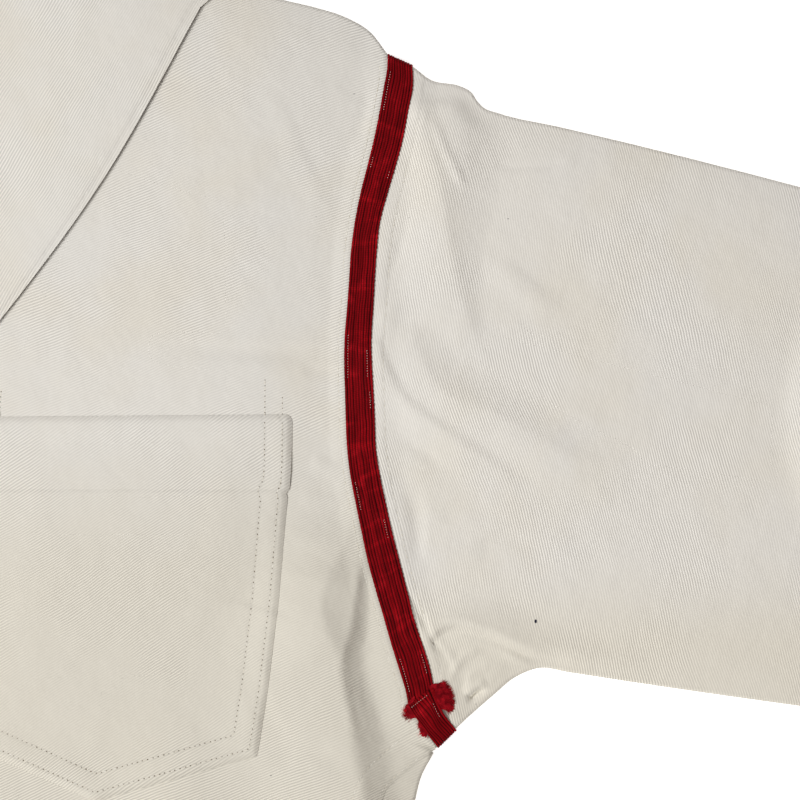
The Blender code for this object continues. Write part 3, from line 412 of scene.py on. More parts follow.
@dataclass
class Relief:
    """How far the upper layer stands above its folded edges.

    Args:
        pattern: The garment's lines.
        puff: How high the cloth stands away from its edges.
        reach: How soon it gets there.
        sag: How far its middle falls in.
        mouth: How far from the cuff and hem it lies flatter.
        deepest: The lowest that a fold may bring it.
    """

    pattern: Pattern
    puff: float = 2.8
    reach: float = 16.0
    sag: float = 1.5
    mouth: float = 60.0
    deepest: float = -1.5

    MAIN_LEFT = (
        # the deep fold beside the armpit: its soft lobe, then its crest
        Fold(((221.7, -236.9), (216.3, -254.4), (210.4, -266.1), (208.5, -275.8), (210.8, -285.5),
             (214.0, -293.3), (216.3, -300.3)), (5, 10, 14, 15, 13, 8, 4), 30, (0.6, 1.7, 2.6, 2.8, 2.6,
             1.6, 0.3), Shape.CLIFF, fade=(0.3, 0.15)),
        Fold(((223.7, -254.4), (221.7, -270.0), (220.6, -278.5), (219.0, -287.1), (216.7, -293.7),
             (215.9, -299.1), (216.7, -306.5), (219.0, -317.4), (221.7, -330.3), (224.5, -347.8),
             (227.2, -371.1), (229.5, -390.6)), (2.5, 5, 7.2, 8.8, 10.8, 12, 13, 13.5, 17, 19, 19), (30, 40,
             50, 56, 60, 60, 60, 60, 60, 60, 60), (0.5, 2.7, 4.2, 4.8, 5.0, 5.2, 5.2, 5.1, 5.0, 4.6, 4.0),
             Shape.CLIFF, fade=(0.1, 0.25)),
        # long folds low on the body
        Fold(((150.2, -300.3), (159.9, -420.1), (150.2, -560.2)), 36, 30, 3.0),
        Fold(((205.0, -430.2), (196.1, -519.7), (206.2, -639.5)), 18, 22, 3.0),
        Fold(((59.9, -340.0), (48.2, -460.2), (63.8, -629.8)), 34, 26, 2.8),
        # the head of the sleeve
        Fold(((246.6, -76.2), (250.5, -94.9), (254.0, -108.5), (256.7, -126.0), (259.9, -145.5),
             (264.9, -163.0), (270.4, -176.6)), (30, 28, 24, 19, 12, 8, 3), (5, 12, 17, 22, 25, 25, 20),
             (2.0, 2.7, 3.0, 2.8, 1.9, 1.1, 0.3), Shape.CLIFF, fade=(0.08, 0.1)),
        Fold(((250.1, -84.0), (257.9, -101.9), (266.1, -116.7)), 2.0, 2.6, 0.7, fade=(0.25, 0.3)),
        Fold(((263.7, -77.8), (264.9, -90.2), (265.7, -102.7), (266.9, -118.3)), (19, 18, 14, 8), 13, (0.9,
             1.0, 0.7, 0.3), Shape.CLIFF, fade=(0.1, 0.3)),
        # the V at the middle of the armhole
        Fold(((229.1, -171.9), (234.6, -185.9), (240.8, -195.7), (249.0, -202.7), (258.3, -209.3),
             (268.4, -216.3), (286.7, -228.7), (301.1, -237.3)), (2.4, 2.8, 3.2, 3.6, 4, 4, 4, 4), 15, (0.8,
             0.9, 0.95, 0.95, 0.9, 0.8, 0.7, 0.6), Shape.CLIFF, fade=(0.03, 0.4)),
        Fold(((242.3, -165.7), (246.2, -177.4), (253.2, -190.6), (265.7, -197.2), (279.7, -203.1),
             (289.8, -209.3), (305.0, -217.5), (332.2, -227.2)), (9, 12, 15, 13, 12, 11, 11, 10), 21, (0.8,
             1.4, 1.9, 1.7, 1.4, 1.2, 0.9, 0.5), Shape.CLIFF, fade=(0.05, 0.3)),
        Fold(((231.1, -168.0), (237.3, -161.4), (243.1, -156.4)), 4, 6, 0.5, Shape.DROP, fade=(0.2, 0.6)),
        # the ridge under the arm
        Fold(((248.2, -291.8), (252.5, -285.5), (259.1, -282.4), (268.4, -284.0), (281.2, -289.0),
             (291.8, -293.7), (301.1, -297.2), (316.6, -301.9), (340.0, -308.9)), (8, 10, 12, 13, 13, 13,
             13, 14, 14), (2.6, 2.6, 3, 3, 3.4, 4, 5, 7, 9), 2.2, Shape.CLIFF, fade=(0.06, 0.4)),
        # the far sleeve
        Fold(((419.7, -140.0), (402.2, -199.9), (430.2, -290.2)), 22, 16, 3.2),
        Fold(((519.7, -170.0), (499.9, -229.9), (469.9, -310.0)), 20, 16, 3.6),
        Fold(((560.2, -180.1), (574.9, -240.0), (539.9, -320.1)), 16, 20, 3.0),
        Fold(((660.1, -210.1), (639.9, -262.2), (660.1, -329.9)), 24, 18, 2.6),
    )
    MAIN_RIGHT = (
        # beside the armpit, and from the shoulder
        Fold(((208, -258), (206, -335), (222, -430)), 10, 28, 7.0),
        Fold(((214, -248), (220, -300), (238, -356)), 8, 9, -2.2),
        Fold(((188, -84), (200, -110), (208, -150)), 9, 10, -1.2),
        # long folds low on the body
        Fold(((120, -300), (110, -400), (128, -540)), 34, 28, 3.2),
        Fold(((190, -440), (202, -530), (194, -640)), 20, 20, 2.8),
        Fold(((50, -360), (66, -470), (52, -630)), 26, 30, 2.4),
        # the head of the sleeve, the armhole and the underarm
        Fold(((250, -72), (252, -120), (274, -186)), 9, 8, -2.2),
        Fold(((266, -78), (272, -118), (292, -170)), 12, 10, 3.6),
        Fold(((240, -180), (262, -206), (326, -232)), 10, 9, -2.0),
        Fold(((268, -180), (290, -200), (340, -220)), 12, 9, 2.8),
        Fold(((254, -286), (284, -284), (336, -300)), 8, 8, 2.6),
        # the far sleeve
        Fold(((440, -145), (424, -215), (446, -300)), 20, 20, 3.2),
        Fold(((540, -172), (512, -236), (500, -318)), 20, 16, 3.6),
        Fold(((640, -200), (650, -260), (626, -330)), 22, 20, 2.8),
    )
    CREASES = (
        # on the body
        Fold(((189.8, -74.7), (195.3, -87.9), (201.1, -100.8), (206.9, -112.4), (212.8, -124.1),
             (216.3, -133.0)), 2.4, 10, 0.24, Shape.CLIFF, fade=(0.2, 0.35)),
        Fold(((227.6, -71.6), (224.5, -87.1), (221.7, -99.6)), 4, 4, -0.5),
        Fold(((141.6, -175.1), (175.1, -176.6), (196.1, -177.4), (216.7, -176.2)), 4, 6, -0.6,
             fade=(0.4, 0.3)),
        Fold(((199.2, -183.6), (216.7, -185.6)), 3, 4, -0.35),
        Fold(((203.4, -219.4), (209.7, -221.7), (216.3, -224.8)), 3.2, 5, 0.45, Shape.DROP),
        Fold(((198.4, -233.4), (207.7, -235.0), (218.6, -235.0)), 3, 5, 0.35, Shape.DROP),
        Fold(((185.2, -336.9), (207.7, -333.0), (220.2, -342.3)), 5, 6, -0.5),
        Fold(((176.6, -289.4), (185.2, -312.8), (199.9, -343.9)), 6, 8, -0.4),
        # streaks in the armpit fold's slope
        Fold(((221.7, -300.3), (223.7, -314.7), (228.0, -330.3), (233.4, -351.7)), 0.9, 1.4, 0.4,
             Shape.SHARP),
        Fold(((225.6, -312.8), (229.5, -326.4), (235.7, -345.8)), 0.9, 1.4, 0.3, Shape.SHARP),
        Fold(((214.0, -297.2), (219.4, -298.0), (225.2, -294.1), (227.2, -287.9)), 1.2, 2.0, 0.35,
             Shape.DROP),
        # on the sleeve
        Fold(((242.3, -116.7), (240.4, -131.1), (235.7, -145.5), (232.6, -157.2)), 2.6, 3.0, -0.25),
        Fold(((273.5, -139.7), (281.6, -147.4), (289.4, -154.0), (301.9, -165.7)), 6, 10, 0.6),
        Fold(((274.6, -104.6), (287.9, -105.4), (301.9, -103.9)), 2.0, 2.6, -0.35, fade=(0.15, 0.1)),
        Fold(((242.3, -110.5), (242.7, -98.8), (246.2, -83.2)), 3, 3, -0.3),
        Fold(((242.7, -227.2), (245.5, -243.9), (244.3, -264.1)), 5, 5, -0.6),
        Fold(((237.3, -209.3), (247.8, -215.5), (257.1, -223.3)), 3, 4, -0.35),
        Fold(((266.1, -258.3), (277.7, -250.5), (293.3, -252.5)), 5, 7, -0.4),
        Fold(((252.1, -242.7), (266.1, -238.1), (277.7, -242.7)), 6, 6, -0.3),
        # crumples and the slit under the arm
        Fold(((242.0, -270.0), (247.4, -280.9), (252.8, -291.4), (259.1, -297.2)), 2.0, 2.4, -1.3,
             Shape.SHARP, fade=(0.2, 0.3)),
        Fold(((252.8, -292.5), (257.1, -294.1), (260.2, -298.8), (258.3, -305.0), (255.2, -308.9)), 2.0,
             2.8, 0.8, Shape.SHARP),
        Fold(((260.2, -303.4), (261.8, -298.0), (266.1, -294.1), (273.1, -293.3)), 1.8, 2.4, 1.0,
             Shape.SHARP),
        Fold(((265.3, -308.9), (266.1, -303.4), (270.0, -300.3), (277.0, -298.8), (285.5, -297.6)), 1.8,
             3.0, 1.0, Shape.SHARP),
        Fold(((272.3, -306.5), (275.4, -303.0), (280.1, -301.1)), 1.6, 2.2, 0.5, Shape.SHARP),
        Fold(((264.5, -312.8), (268.0, -310.8), (272.7, -308.1)), 1.6, 1.6, -4.6, Shape.SHARP,
             fade=(0.15, 0.25)),
        Fold(((273.1, -306.1), (268.4, -308.5), (264.1, -311.2)), 2.0, 3.6, 1.2, Shape.CLIFF,
             fade=(0.25, 0.2)),
        Fold(((256.7, -289.8), (263.0, -287.9), (270.0, -289.4), (277.7, -292.9), (286.3, -297.2),
             (295.3, -301.1)), 1.9, 3.0, 0.6, Shape.SHARP, fade=(0.2, 0.3)),
        Fold(((259.1, -312.8), (263.0, -308.9), (263.7, -303.4)), 1.6, 1.8, -0.6, Shape.SHARP),
        Fold(((254.4, -300.3), (257.5, -308.9), (261.4, -315.9)), 2.0, 2.0, 0.5, Shape.SHARP),
        Fold(((277.7, -295.3), (289.4, -298.8), (299.5, -300.3)), 2.4, 3.0, 0.6, Shape.DROP),
    )

    def folded(self, xy: np.ndarray, folds: tuple[Fold, ...]) -> np.ndarray:
        """Adds up folds.

        Args:
            xy: Places on the pattern.
            folds: The folds.

        Returns:
            Their height there.
        """
        rise = np.zeros(xy.shape[:-1])
        for fold in folds:
            reach = max(np.max(fold.left), np.max(fold.right))
            line = smooth_path(fold.line, 6)
            near = ((xy > line.min(0) - reach) & (xy < line.max(0) + reach)).all(-1)
            if near.any():
                rise[near] += fold.section(*nearest(line, xy[near]))
        return rise

    def upper(self, xy: np.ndarray) -> np.ndarray:
        """Measures the upper layer.

        Args:
            xy: Places on the pattern.

        Returns:
            Heights above the level of a folded edge.
        """
        p = self.pattern
        half = pairs(np.abs(xy[..., 0]), xy[..., 1])
        closed = (p.shoulder, p.sleeve_top, p.sleeve_under, p.side)
        edge = np.min([nearest(line, half)[0] for line in closed], axis=0)
        mouth = np.min([nearest(line, half)[0] for line in (p.cuff, p.hem)], axis=0)
        neck = nearest(p.neck, half)[0]
        soft = 1 - np.exp(-np.clip(edge - p.radius, 0, None) / self.reach)
        puff = self.puff * soft * ease((mouth + 10) / self.mouth) * (0.35 + 0.65 * ease(neck / 60))
        sag = self.sag * ease((edge - 6) / 40) * (1 - ease(mouth / self.mouth))
        left, right = self.folded(half, self.MAIN_LEFT), self.folded(half, self.MAIN_RIGHT)
        folds = np.where(xy[..., 0] >= 0, left, right)
        folds = folds * ease((edge - 1) / 9) * ease(mouth / 30) * ease(neck / 30)
        creases = self.folded(xy, self.CREASES) * ease((edge - 0.5) / 4)
        return np.maximum(puff - sag + folds, self.deepest) + creases

    def height(self, xy: np.ndarray, layer: np.ndarray, lift: np.ndarray = 0.0) -> np.ndarray:
        """Finds the height of a sheet's middle.

        Args:
            xy: Places on the pattern.
            layer: 0 on the table's side to 1 on the upper side.
            lift: How far outside the garment's own cloth the sheet lies.

        Returns:
            Z of the sheet's middle.
        """
        p = self.pattern
        centre = p.lift(xy) + p.cloth / 2 + p.radius
        return centre - (p.radius + lift) * (1 - 2 * layer) + layer * self.upper(xy)

    def top_side(self, xy: np.ndarray) -> np.ndarray:
        """Z of the upper layer's outer side."""
        return self.height(xy, np.ones(xy.shape[:-1])) + self.pattern.cloth / 2

    def place(self, xy: np.ndarray, layer: np.ndarray, lift: np.ndarray = 0.0) -> np.ndarray:
        """Places in plan as points in space; the arguments are those of height."""
        layer = np.broadcast_to(np.asarray(layer, float), xy.shape[:-1])
        return np.concatenate([xy, self.height(xy, layer, lift)[..., None]], axis=-1)


def roll_over(
    pattern: Pattern, amount: float, lift: float = 0.0, tail: float = 8.0, arc: int = 10, rest: int = 4
) -> list[tuple[float, float]]:
    """Follows a sheet to an edge, over it and back.

    Args:
        pattern: The garment, for the roll's radius and depth.
        amount: 0 for a plain edge to 1 for a full turn and a tail on the far side.
        lift: How far outside the garment's own cloth the sheet lies.
        tail: Length of the tail.
        arc: Steps round the turn.
        rest: Steps along the tail.

    Returns:
        Inward distance and layer travelled, for each step.
    """
    radius = pattern.radius + lift
    angle = math.pi * amount
    start = radius * math.sin(min(angle, math.pi / 2))
    flat, turn_length = pattern.roll - start, radius * angle
    knots = [flat * k / 3 for k in (1, 2)] + [flat + turn_length * k / arc for k in range(arc + 1)]
    knots += [flat + turn_length + tail * amount * k / rest for k in range(1, rest + 1)]
    points = []
    for k, knot in enumerate(knots):
        even = knots[-1] * (k + 1) / len(knots)
        run = even + (knot - even) * amount
        if run <= flat:
            points.append((pattern.roll - run, 0.0))
        elif run <= flat + turn_length:
            turn = (run - flat) / radius
            points.append((start - radius * math.sin(turn), (1 - math.cos(turn)) / 2))
        else:
            more = run - flat - turn_length
            rise = radius * (1 - math.cos(angle)) + more * math.sin(angle)
            inward = start - radius * math.sin(angle) - more * math.cos(angle)
            points.append((inward, rise / (2 * radius)))
    return points


@dataclass
class ShaderTree:
    """A material's nodes under construction.

    Args:
        name: The material's name.
    """

    name: str
    material: Material = field(init=False)

    def __post_init__(self) -> None:
        """Starts the material with its Principled shader."""
        self.material = bpy.data.materials.new(self.name)
        self.material.use_nodes = True

    @property
    def surface(self) -> bpy.types.Node:
        """The Principled shader."""
        return self.material.node_tree.nodes["Principled BSDF"]

    def node(self, kind: str, **values: object) -> bpy.types.Node:
        """Adds a node.

        Args:
            kind: Its type, without the ShaderNode prefix.
            values: Its properties; in_ and an index or a name sets or links that input.

        Returns:
            The node.
        """
        made = self.material.node_tree.nodes.new("ShaderNode" + kind)
        for key, value in values.items():
            if not key.startswith("in_"):
                setattr(made, key, value)
        for key, value in values.items():
            if key.startswith("in_"):
                name = key[3:].replace("_", " ")
                self.feed(made.inputs[int(name) if name.isdigit() else name], value)
        return made

    def feed(self, socket: Socket, value: object) -> None:
        """Links a socket to another one, or sets its number or colour."""
        if isinstance(value, Socket):
            self.material.node_tree.links.new(value, socket)
        else:
            socket.default_value = value

    def maths(self, operation: str, a: object, b: object = 0.0, c: object = 0.0) -> Socket:
        """The result of a Math node on two or three values."""
        return self.node("Math", operation=operation, in_0=a, in_1=b, in_2=c).outputs[0]

    def spread(self, value: object, low: float, high: float, to: tuple[float, float]) -> Socket:
        """A value between low and high, spread smoothly over another range."""
        made = self.node("MapRange", interpolation_type="SMOOTHSTEP", in_0=value, in_1=low, in_2=high)
        made.inputs[3].default_value, made.inputs[4].default_value = to
        return made.outputs[0]

    def noise(self, vector: object, scale: float, detail: float = 2.0, rough: float = 0.5) -> Socket:
        """A noise value at that scale."""
        values = {"in_Vector": vector, "in_Scale": scale, "in_Detail": detail, "in_Roughness": rough}
        return self.node("TexNoise", noise_dimensions="3D", **values).outputs[0]

    def mix(self, share: object, a: object, b: object) -> Socket:
        """Two colours mixed by a share."""
        return self.node("Mix", data_type="RGBA", in_0=share, in_6=a, in_7=b).outputs[2]

    def bump(self, height: object, distance: float, strength: float, under: object = None) -> Socket:
        """A bump of that depth on top of another one."""
        below = {} if under is None else {"in_Normal": under}
        return self.node("Bump", in_0=strength, in_1=distance, in_Height=height, **below).outputs[0]

    def mapped(self, vector: object, kind: str = "POINT", **values: tuple) -> Socket:
        """A vector moved, turned or scaled by a Mapping node."""
        return self.node("Mapping", vector_type=kind, in_Vector=vector, **values).outputs[0]

    def waves(self, vector: object, period: float, **values: float) -> Socket:
        """Bands across Y, a period in metres apart."""
        scale = 2 * math.pi / (20 * period)
        kind = {"wave_type": "BANDS", "bands_direction": "Y"}
        return self.node("TexWave", in_0=vector, in_Scale=scale, **kind, **values).outputs["Fac"]

    def tones(self) -> bpy.types.bpy_prop_collection:
        """The three numbers that each vertex of a piece carries."""
        rows = self.node("Attribute", attribute_name="rows").outputs["Vector"]
        return self.node("SeparateXYZ", in_0=rows).outputs

    def dress(self, colour: object, shade: object, rough: float, shine: float, normal: object) -> Material:
        """Feeds the shader and gives back the material.

        Args:
            colour: Its colour.
            shade: What the colour is multiplied by, or None.
            rough: Its roughness.
            shine: Its specular level.
            normal: Its normal, or None.

        Returns:
            The material.
        """
        if shade is not None:
            colour = self.node("VectorMath", operation="SCALE", in_0=colour, in_Scale=shade).outputs[0]
        self.feed(self.surface.inputs["Base Color"], colour)
        if normal is not None:
            self.feed(self.surface.inputs["Normal"], normal)
        self.surface.inputs["Roughness"].default_value = rough
        self.surface.inputs["Specular IOR Level"].default_value = shine
        return self.material


@dataclass(frozen=True)
class CottonDrill:
    """The white twill cotton.

    Args:
        name: The material's name.
        wale: The way that the wales run.
        light: Colour of the cloth in the light parts.
        dull: Colour of its soiled parts.
        cool: Colour of its thin parts.
        low_shade: Colour of its lower part, a painted shade that makes it darker and yellower towards the
            bottom.
        low_shade_span: Y in the frame where that painted shade starts and where it is full.
        specks: Dark specks, each a point in the frame, half its width and height, and its strength.
        period: Distance between wales, in metres.
        weave: How much darker the twill's furrows are.
        rows: Offsets of the two stitch rows beside each kind of seam, in millimetres.
    """

    name: str
    wale: Twill
    light: Colour = (0.636, 0.619, 0.574, 1.0)
    dull: Colour = (0.624, 0.597, 0.532, 1.0)
    cool: Colour = (0.633, 0.619, 0.580, 1.0)
    low_shade: Colour = (0.575, 0.545, 0.466, 1.0)
    low_shade_span: tuple[float, float] = (0.1325, 0.0547)
    specks: tuple = ()
    period: float = 0.00098
    weave: float = 0.36
    rows: tuple[tuple[float, float], ...] = ((2.7, 2.7), (0.6, 10.6), (6.0, 6.0))

    def make(self) -> Material:
        """Builds the node material."""
        tree = ShaderTree(self.name)
        grain = tree.node("UVMap", uv_map="grain").outputs[0]
        turned = tree.mapped(grain, in_Rotation=(0, 0, -math.radians(self.wale.value)))
        skew = tree.maths("MULTIPLY", tree.noise(grain, 11.0, 1.0), 0.011)
        aside = tree.node("CombineXYZ", in_1=skew).outputs[0]
        skewed = tree.node("VectorMath", operation="ADD", in_0=turned, in_1=aside).outputs[0]
        wales = tree.waves(skewed, self.period, in_Distortion=2.2, in_Detail=2.0, in_Detail_Scale=0.35)
        slub = tree.noise(tree.mapped(turned, in_Scale=(0.3, 1.0, 1.0)), 1500.0, 2.0, 0.6)
        crumple = tree.noise(grain, 85.0, 3.0, 0.5)
        patch = tree.noise(grain, 16.0, 3.0, 0.55)
        strength = tree.spread(tree.noise(grain, 24.0, 2.0), 0.4, 0.62, (0.35, 1.0))
        weave = tree.maths("MULTIPLY", tree.maths("SUBTRACT", wales, 0.5), strength)
        colour = tree.mix(tree.spread(patch, 0.42, 0.7, (0.0, 1.0)), self.light, self.dull)
        thin = tree.noise(tree.mapped(grain, in_Location=(3.1, 1.7, 0.0)), 22.0, 3.0, 0.55)
        colour = tree.mix(tree.spread(thin, 0.45, 0.75, (0.0, 0.9)), colour, self.cool)
        place = tree.node("TexCoord").outputs["Object"]
        # painted shade: darker and yellower towards the bottom of the frame, with a ragged edge
        high = tree.node("SeparateXYZ", in_0=place).outputs[1]
        ragged = tree.maths("MULTIPLY_ADD", patch, 0.03, high)
        above, full = (y + 0.015 for y in self.low_shade_span)
        colour = tree.mix(tree.spread(ragged, full, above, (0.8, 0.0)), colour, self.low_shade)
        for point, (wide, tall), strength in self.specks:
            around = tree.mapped(place, "TEXTURE", in_Location=point, in_Scale=(wide, tall, 0.002))
            far = tree.node("VectorMath", operation="LENGTH", in_0=around).outputs["Value"]
            colour = tree.mix(tree.spread(far, 0.6, 1.0, (strength, 0.0)), colour, (0.012, 0.014, 0.03, 1.0))
        shade = tree.maths("MULTIPLY_ADD", weave, -self.weave, 0.948)
        shade = tree.maths("MULTIPLY_ADD", slub, -0.05, tree.maths("ADD", shade, 0.025))
        shaded_groove = None
        for seam, (near, far) in zip(tree.tones(), self.rows):
            middle, half = (near + far) / 2, (far - near) / 2
            away = tree.maths("ABSOLUTE", tree.maths("SUBTRACT", seam, middle))
            away = tree.maths("ABSOLUTE", tree.maths("SUBTRACT", away, half))
            dip = tree.spread(away, 0.0, 1.1, (1.0, 0.0))
            shaded_groove = dip if shaded_groove is None else tree.maths("MAXIMUM", shaded_groove, dip)
        # painted shade: the cloth is 6% darker in the grooves along the stitch rows
        shade = tree.maths("MULTIPLY_ADD", shaded_groove, -0.06, shade)
        pucker = tree.noise(grain, 260.0, 2.0, 0.5)
        near_rows = tree.maths("MULTIPLY", pucker, tree.spread(shaded_groove, 0.0, 1.0, (0.15, 1.0)))
        normal = tree.bump(crumple, 0.0012, 0.5)
        normal = tree.bump(near_rows, 0.0006, 0.5, normal)
        normal = tree.bump(tree.maths("SUBTRACT", 1.0, shaded_groove), 0.0003, 0.6, normal)
        normal = tree.bump(weave, 0.00012, 0.6, normal)
        normal = tree.bump(slub, 0.00008, 0.4, normal)
        return tree.dress(colour, shade, 0.86, 0.15, normal)


@dataclass(frozen=True)
class BraidWool:
    """The dark red ribbed braid; its mesh says how high and how deep each place of the ribbing is.

    Args:
        name: The material's name.
        rib: Colour on the ribs.
        shaded_groove: Colour between them, the painted shade of the grooves.
        wear_and_highlight: Colour of lighter patches on the rib crests, rubbed wear and painted highlight.
        pick: Distance between the crosswise threads, in metres.
    """

    name: str
    rib: Colour = (0.188, 0.0018, 0.0042, 1.0)
    shaded_groove: Colour = (0.024, 0.0008, 0.0012, 1.0)
    wear_and_highlight: Colour = (0.33, 0.005, 0.010, 1.0)
    pick: float = 0.0007

    def make(self) -> Material:
        """Builds the node material."""
        tree = ShaderTree(self.name)
        grain = tree.node("UVMap", uv_map="grain").outputs[0]
        crest, depth, _ = tree.tones()
        drawn = tree.mapped(grain, in_Scale=(1.0, 0.1, 1.0))
        strands = tree.noise(drawn, 2200.0, 3.0, 0.6)
        cords = tree.noise(drawn, 420.0, 1.0, 0.5)
        knots = tree.noise(grain, 150.0, 2.0, 0.5)
        # painted shade: the colour goes from the rib colour on the crests to the dark colour deep in the
        # grooves
        high = tree.maths("SUBTRACT", 1.0, tree.maths("MULTIPLY", tree.maths("SUBTRACT", 1.0, crest), depth))
        body = tree.mix(tree.spread(high, 0.1, 0.95, (0.0, 1.0)), self.shaded_groove, self.rib)
        # lighter patches on the rib crests only: rubbed wear and painted highlight
        rubbed_highlight = tree.maths("MULTIPLY", tree.spread(knots, 0.55, 0.75, (0.0, 0.8)), crest)
        colour = tree.mix(rubbed_highlight, body, self.wear_and_highlight)
        cross = tree.waves(grain, self.pick, in_Distortion=3.0, in_Detail_Scale=0.6)
        shade = tree.maths("MULTIPLY_ADD", strands, 1.1, 0.45)
        shade = tree.maths("MULTIPLY", shade, tree.spread(cords, 0.3, 0.7, (0.75, 1.25)))
        shade = tree.maths("MULTIPLY", shade, tree.spread(cross, 0.0, 1.0, (0.8, 1.15)))
        # painted light: brighter crosswise bands where the braid puckers
        folds = tree.noise(tree.mapped(grain, in_Scale=(0.22, 1.0, 1.0)), 230.0, 2.0, 0.5)
        shade = tree.maths("MULTIPLY", shade, tree.spread(folds, 0.52, 0.72, (0.95, 1.4)))
        normal = tree.bump(strands, 0.0002, 0.6, tree.bump(cross, 0.0001, 0.4))
        return tree.dress(colour, shade, 0.7, 0.03, normal)


@dataclass(frozen=True)
class SpunYarn:
    """Sewing thread or loose yarn, its colour varying from strand to strand.

    Args:
        name: The material's name.
        pale: One end of its colours.
        deep: The other end.
        shaded_hole: Colour of the painted shade where a stitch goes down into the cloth.
    """

    name: str
    pale: Colour
    deep: Colour
    shaded_hole: Colour = (0.10, 0.075, 0.045, 1.0)

    def make(self) -> Material:
        """Builds the node material."""
        tree = ShaderTree(self.name)
        place = tree.node("TexCoord").outputs["Object"]
        strand = tree.noise(place, 420.0, 2.0, 0.6)
        fuzz = tree.noise(place, 5000.0, 1.0, 0.5)
        colour = tree.mix(tree.spread(strand, 0.35, 0.65, (0.0, 1.0)), self.pale, self.deep)
        # painted shade: the flat beads in the needle holes take the dark hole colour
        colour = tree.mix(tree.maths("MULTIPLY", tree.tones()[0], 0.95), colour, self.shaded_hole)
        return tree.dress(colour, None, 0.8, 0.05, tree.bump(fuzz, 0.00005, 0.5))


@dataclass
class ClothSheet:
    """One sheet of cloth as a grid of points on its middle, rows going up.

    Args:
        name: The object's name.
        node: The CAD node that it stands for.
        points: Grid points in pattern millimetres.
        grain: The cloth's own coordinates there, in millimetres.
        rows: Signed distances from the seams, in millimetres.
        facing: Which way the grid's normals point.
        around: Whether the last column meets the first.
        wall: Thickness of the shell.
    """

    name: str
    node: str
    points: np.ndarray
    grain: np.ndarray
    rows: np.ndarray
    facing: Facing = Facing.OUT
    around: bool = False
    wall: float = 0.5
    half: float = 0.5

    def outer(self) -> np.ndarray:
        """The points of the cloth's outer side."""
        points = self.points
        if self.around:
            wide = np.concatenate([points[:, -2:-1], points, points[:, 1:2]], axis=1)
            across = wide[:, 2:] - wide[:, :-2]
        else:
            across = np.gradient(points, axis=1)
        normal = np.cross(across, np.gradient(points, axis=0))
        normal /= np.linalg.norm(normal, axis=-1)[..., None]
        return points + normal * self.half * self.facing.value

    def build(self, pattern: Pattern, finish: Material) -> Thing:
        """Makes the shell and hangs it in the frame.

        Args:
            pattern: The garment, for the way into the shared frame.
            finish: The cloth's material.

        Returns:
            The finished object.
        """
        rows, columns = self.points.shape[:2]
        places = pattern.to_frame(self.outer()).reshape(-1, 3)
        grain = (self.grain * METRE).reshape(-1, 2)
        seams = self.rows.reshape(-1, 3)
        model = bmesh.new()
        bmesh.ops.create_grid(model, x_segments=columns - 1, y_segments=rows - 1, size=0.5)
        layer = model.verts.layers.float_vector.new("rows")
        uv = model.loops.layers.uv.new("grain")
        for vertex, place, seam in zip(model.verts, places.tolist(), seams.tolist()):
            vertex.co = place
            vertex[layer] = seam
        for face in model.faces:
            face.smooth = True
            for loop in face.loops:
                loop[uv].uv = grain[loop.vert.index]
        if self.around:
            rim = [v for v in model.verts if v.is_boundary]
            bmesh.ops.remove_doubles(model, verts=rim, dist=1e-6)
        if self.facing is Facing.IN:
            bmesh.ops.reverse_faces(model, faces=model.faces)
        for edge in model.edges:
            edge.smooth = not edge.is_boundary
        cloth = finished(self.name, model, finish)
        wall = cloth.modifiers.new("wall", "SOLIDIFY")
        wall.thickness = self.wall * METRE
        wall.offset = -1.0
        return join_frame(cloth, self.node)


def finished(name: str, model: BMesh, material: Material) -> Thing:
    """Turns a bmesh into an object of the scene.

    Args:
        name: The object's name.
        model: Its mesh, in the shared frame.
        material: Its finish.

    Returns:
        The object, at the origin.
    """
    mesh = bpy.data.meshes.new(name)
    model.to_mesh(mesh)
    model.free()
    mesh.materials.append(material)
    thing = bpy.data.objects.new(name, mesh)
    bpy.context.scene.collection.objects.link(thing)
    return thing


def join_frame(thing: Thing, node: str = "") -> Thing:
    """Rides a piece on the frame.

    Args:
        thing: The piece.
        node: The CAD node that it replaces, if any.

    Returns:
        The piece.
    """
    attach(thing, "root")
    if node:
        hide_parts(node)
    LOG.info("%s: %d faces", thing.name, len(thing.data.polygons))
    return thing


@dataclass
class SewnPart:
    """A part of the garment, laid out on its pattern and raised by its relief."""

    pattern: Pattern
    relief: Relief


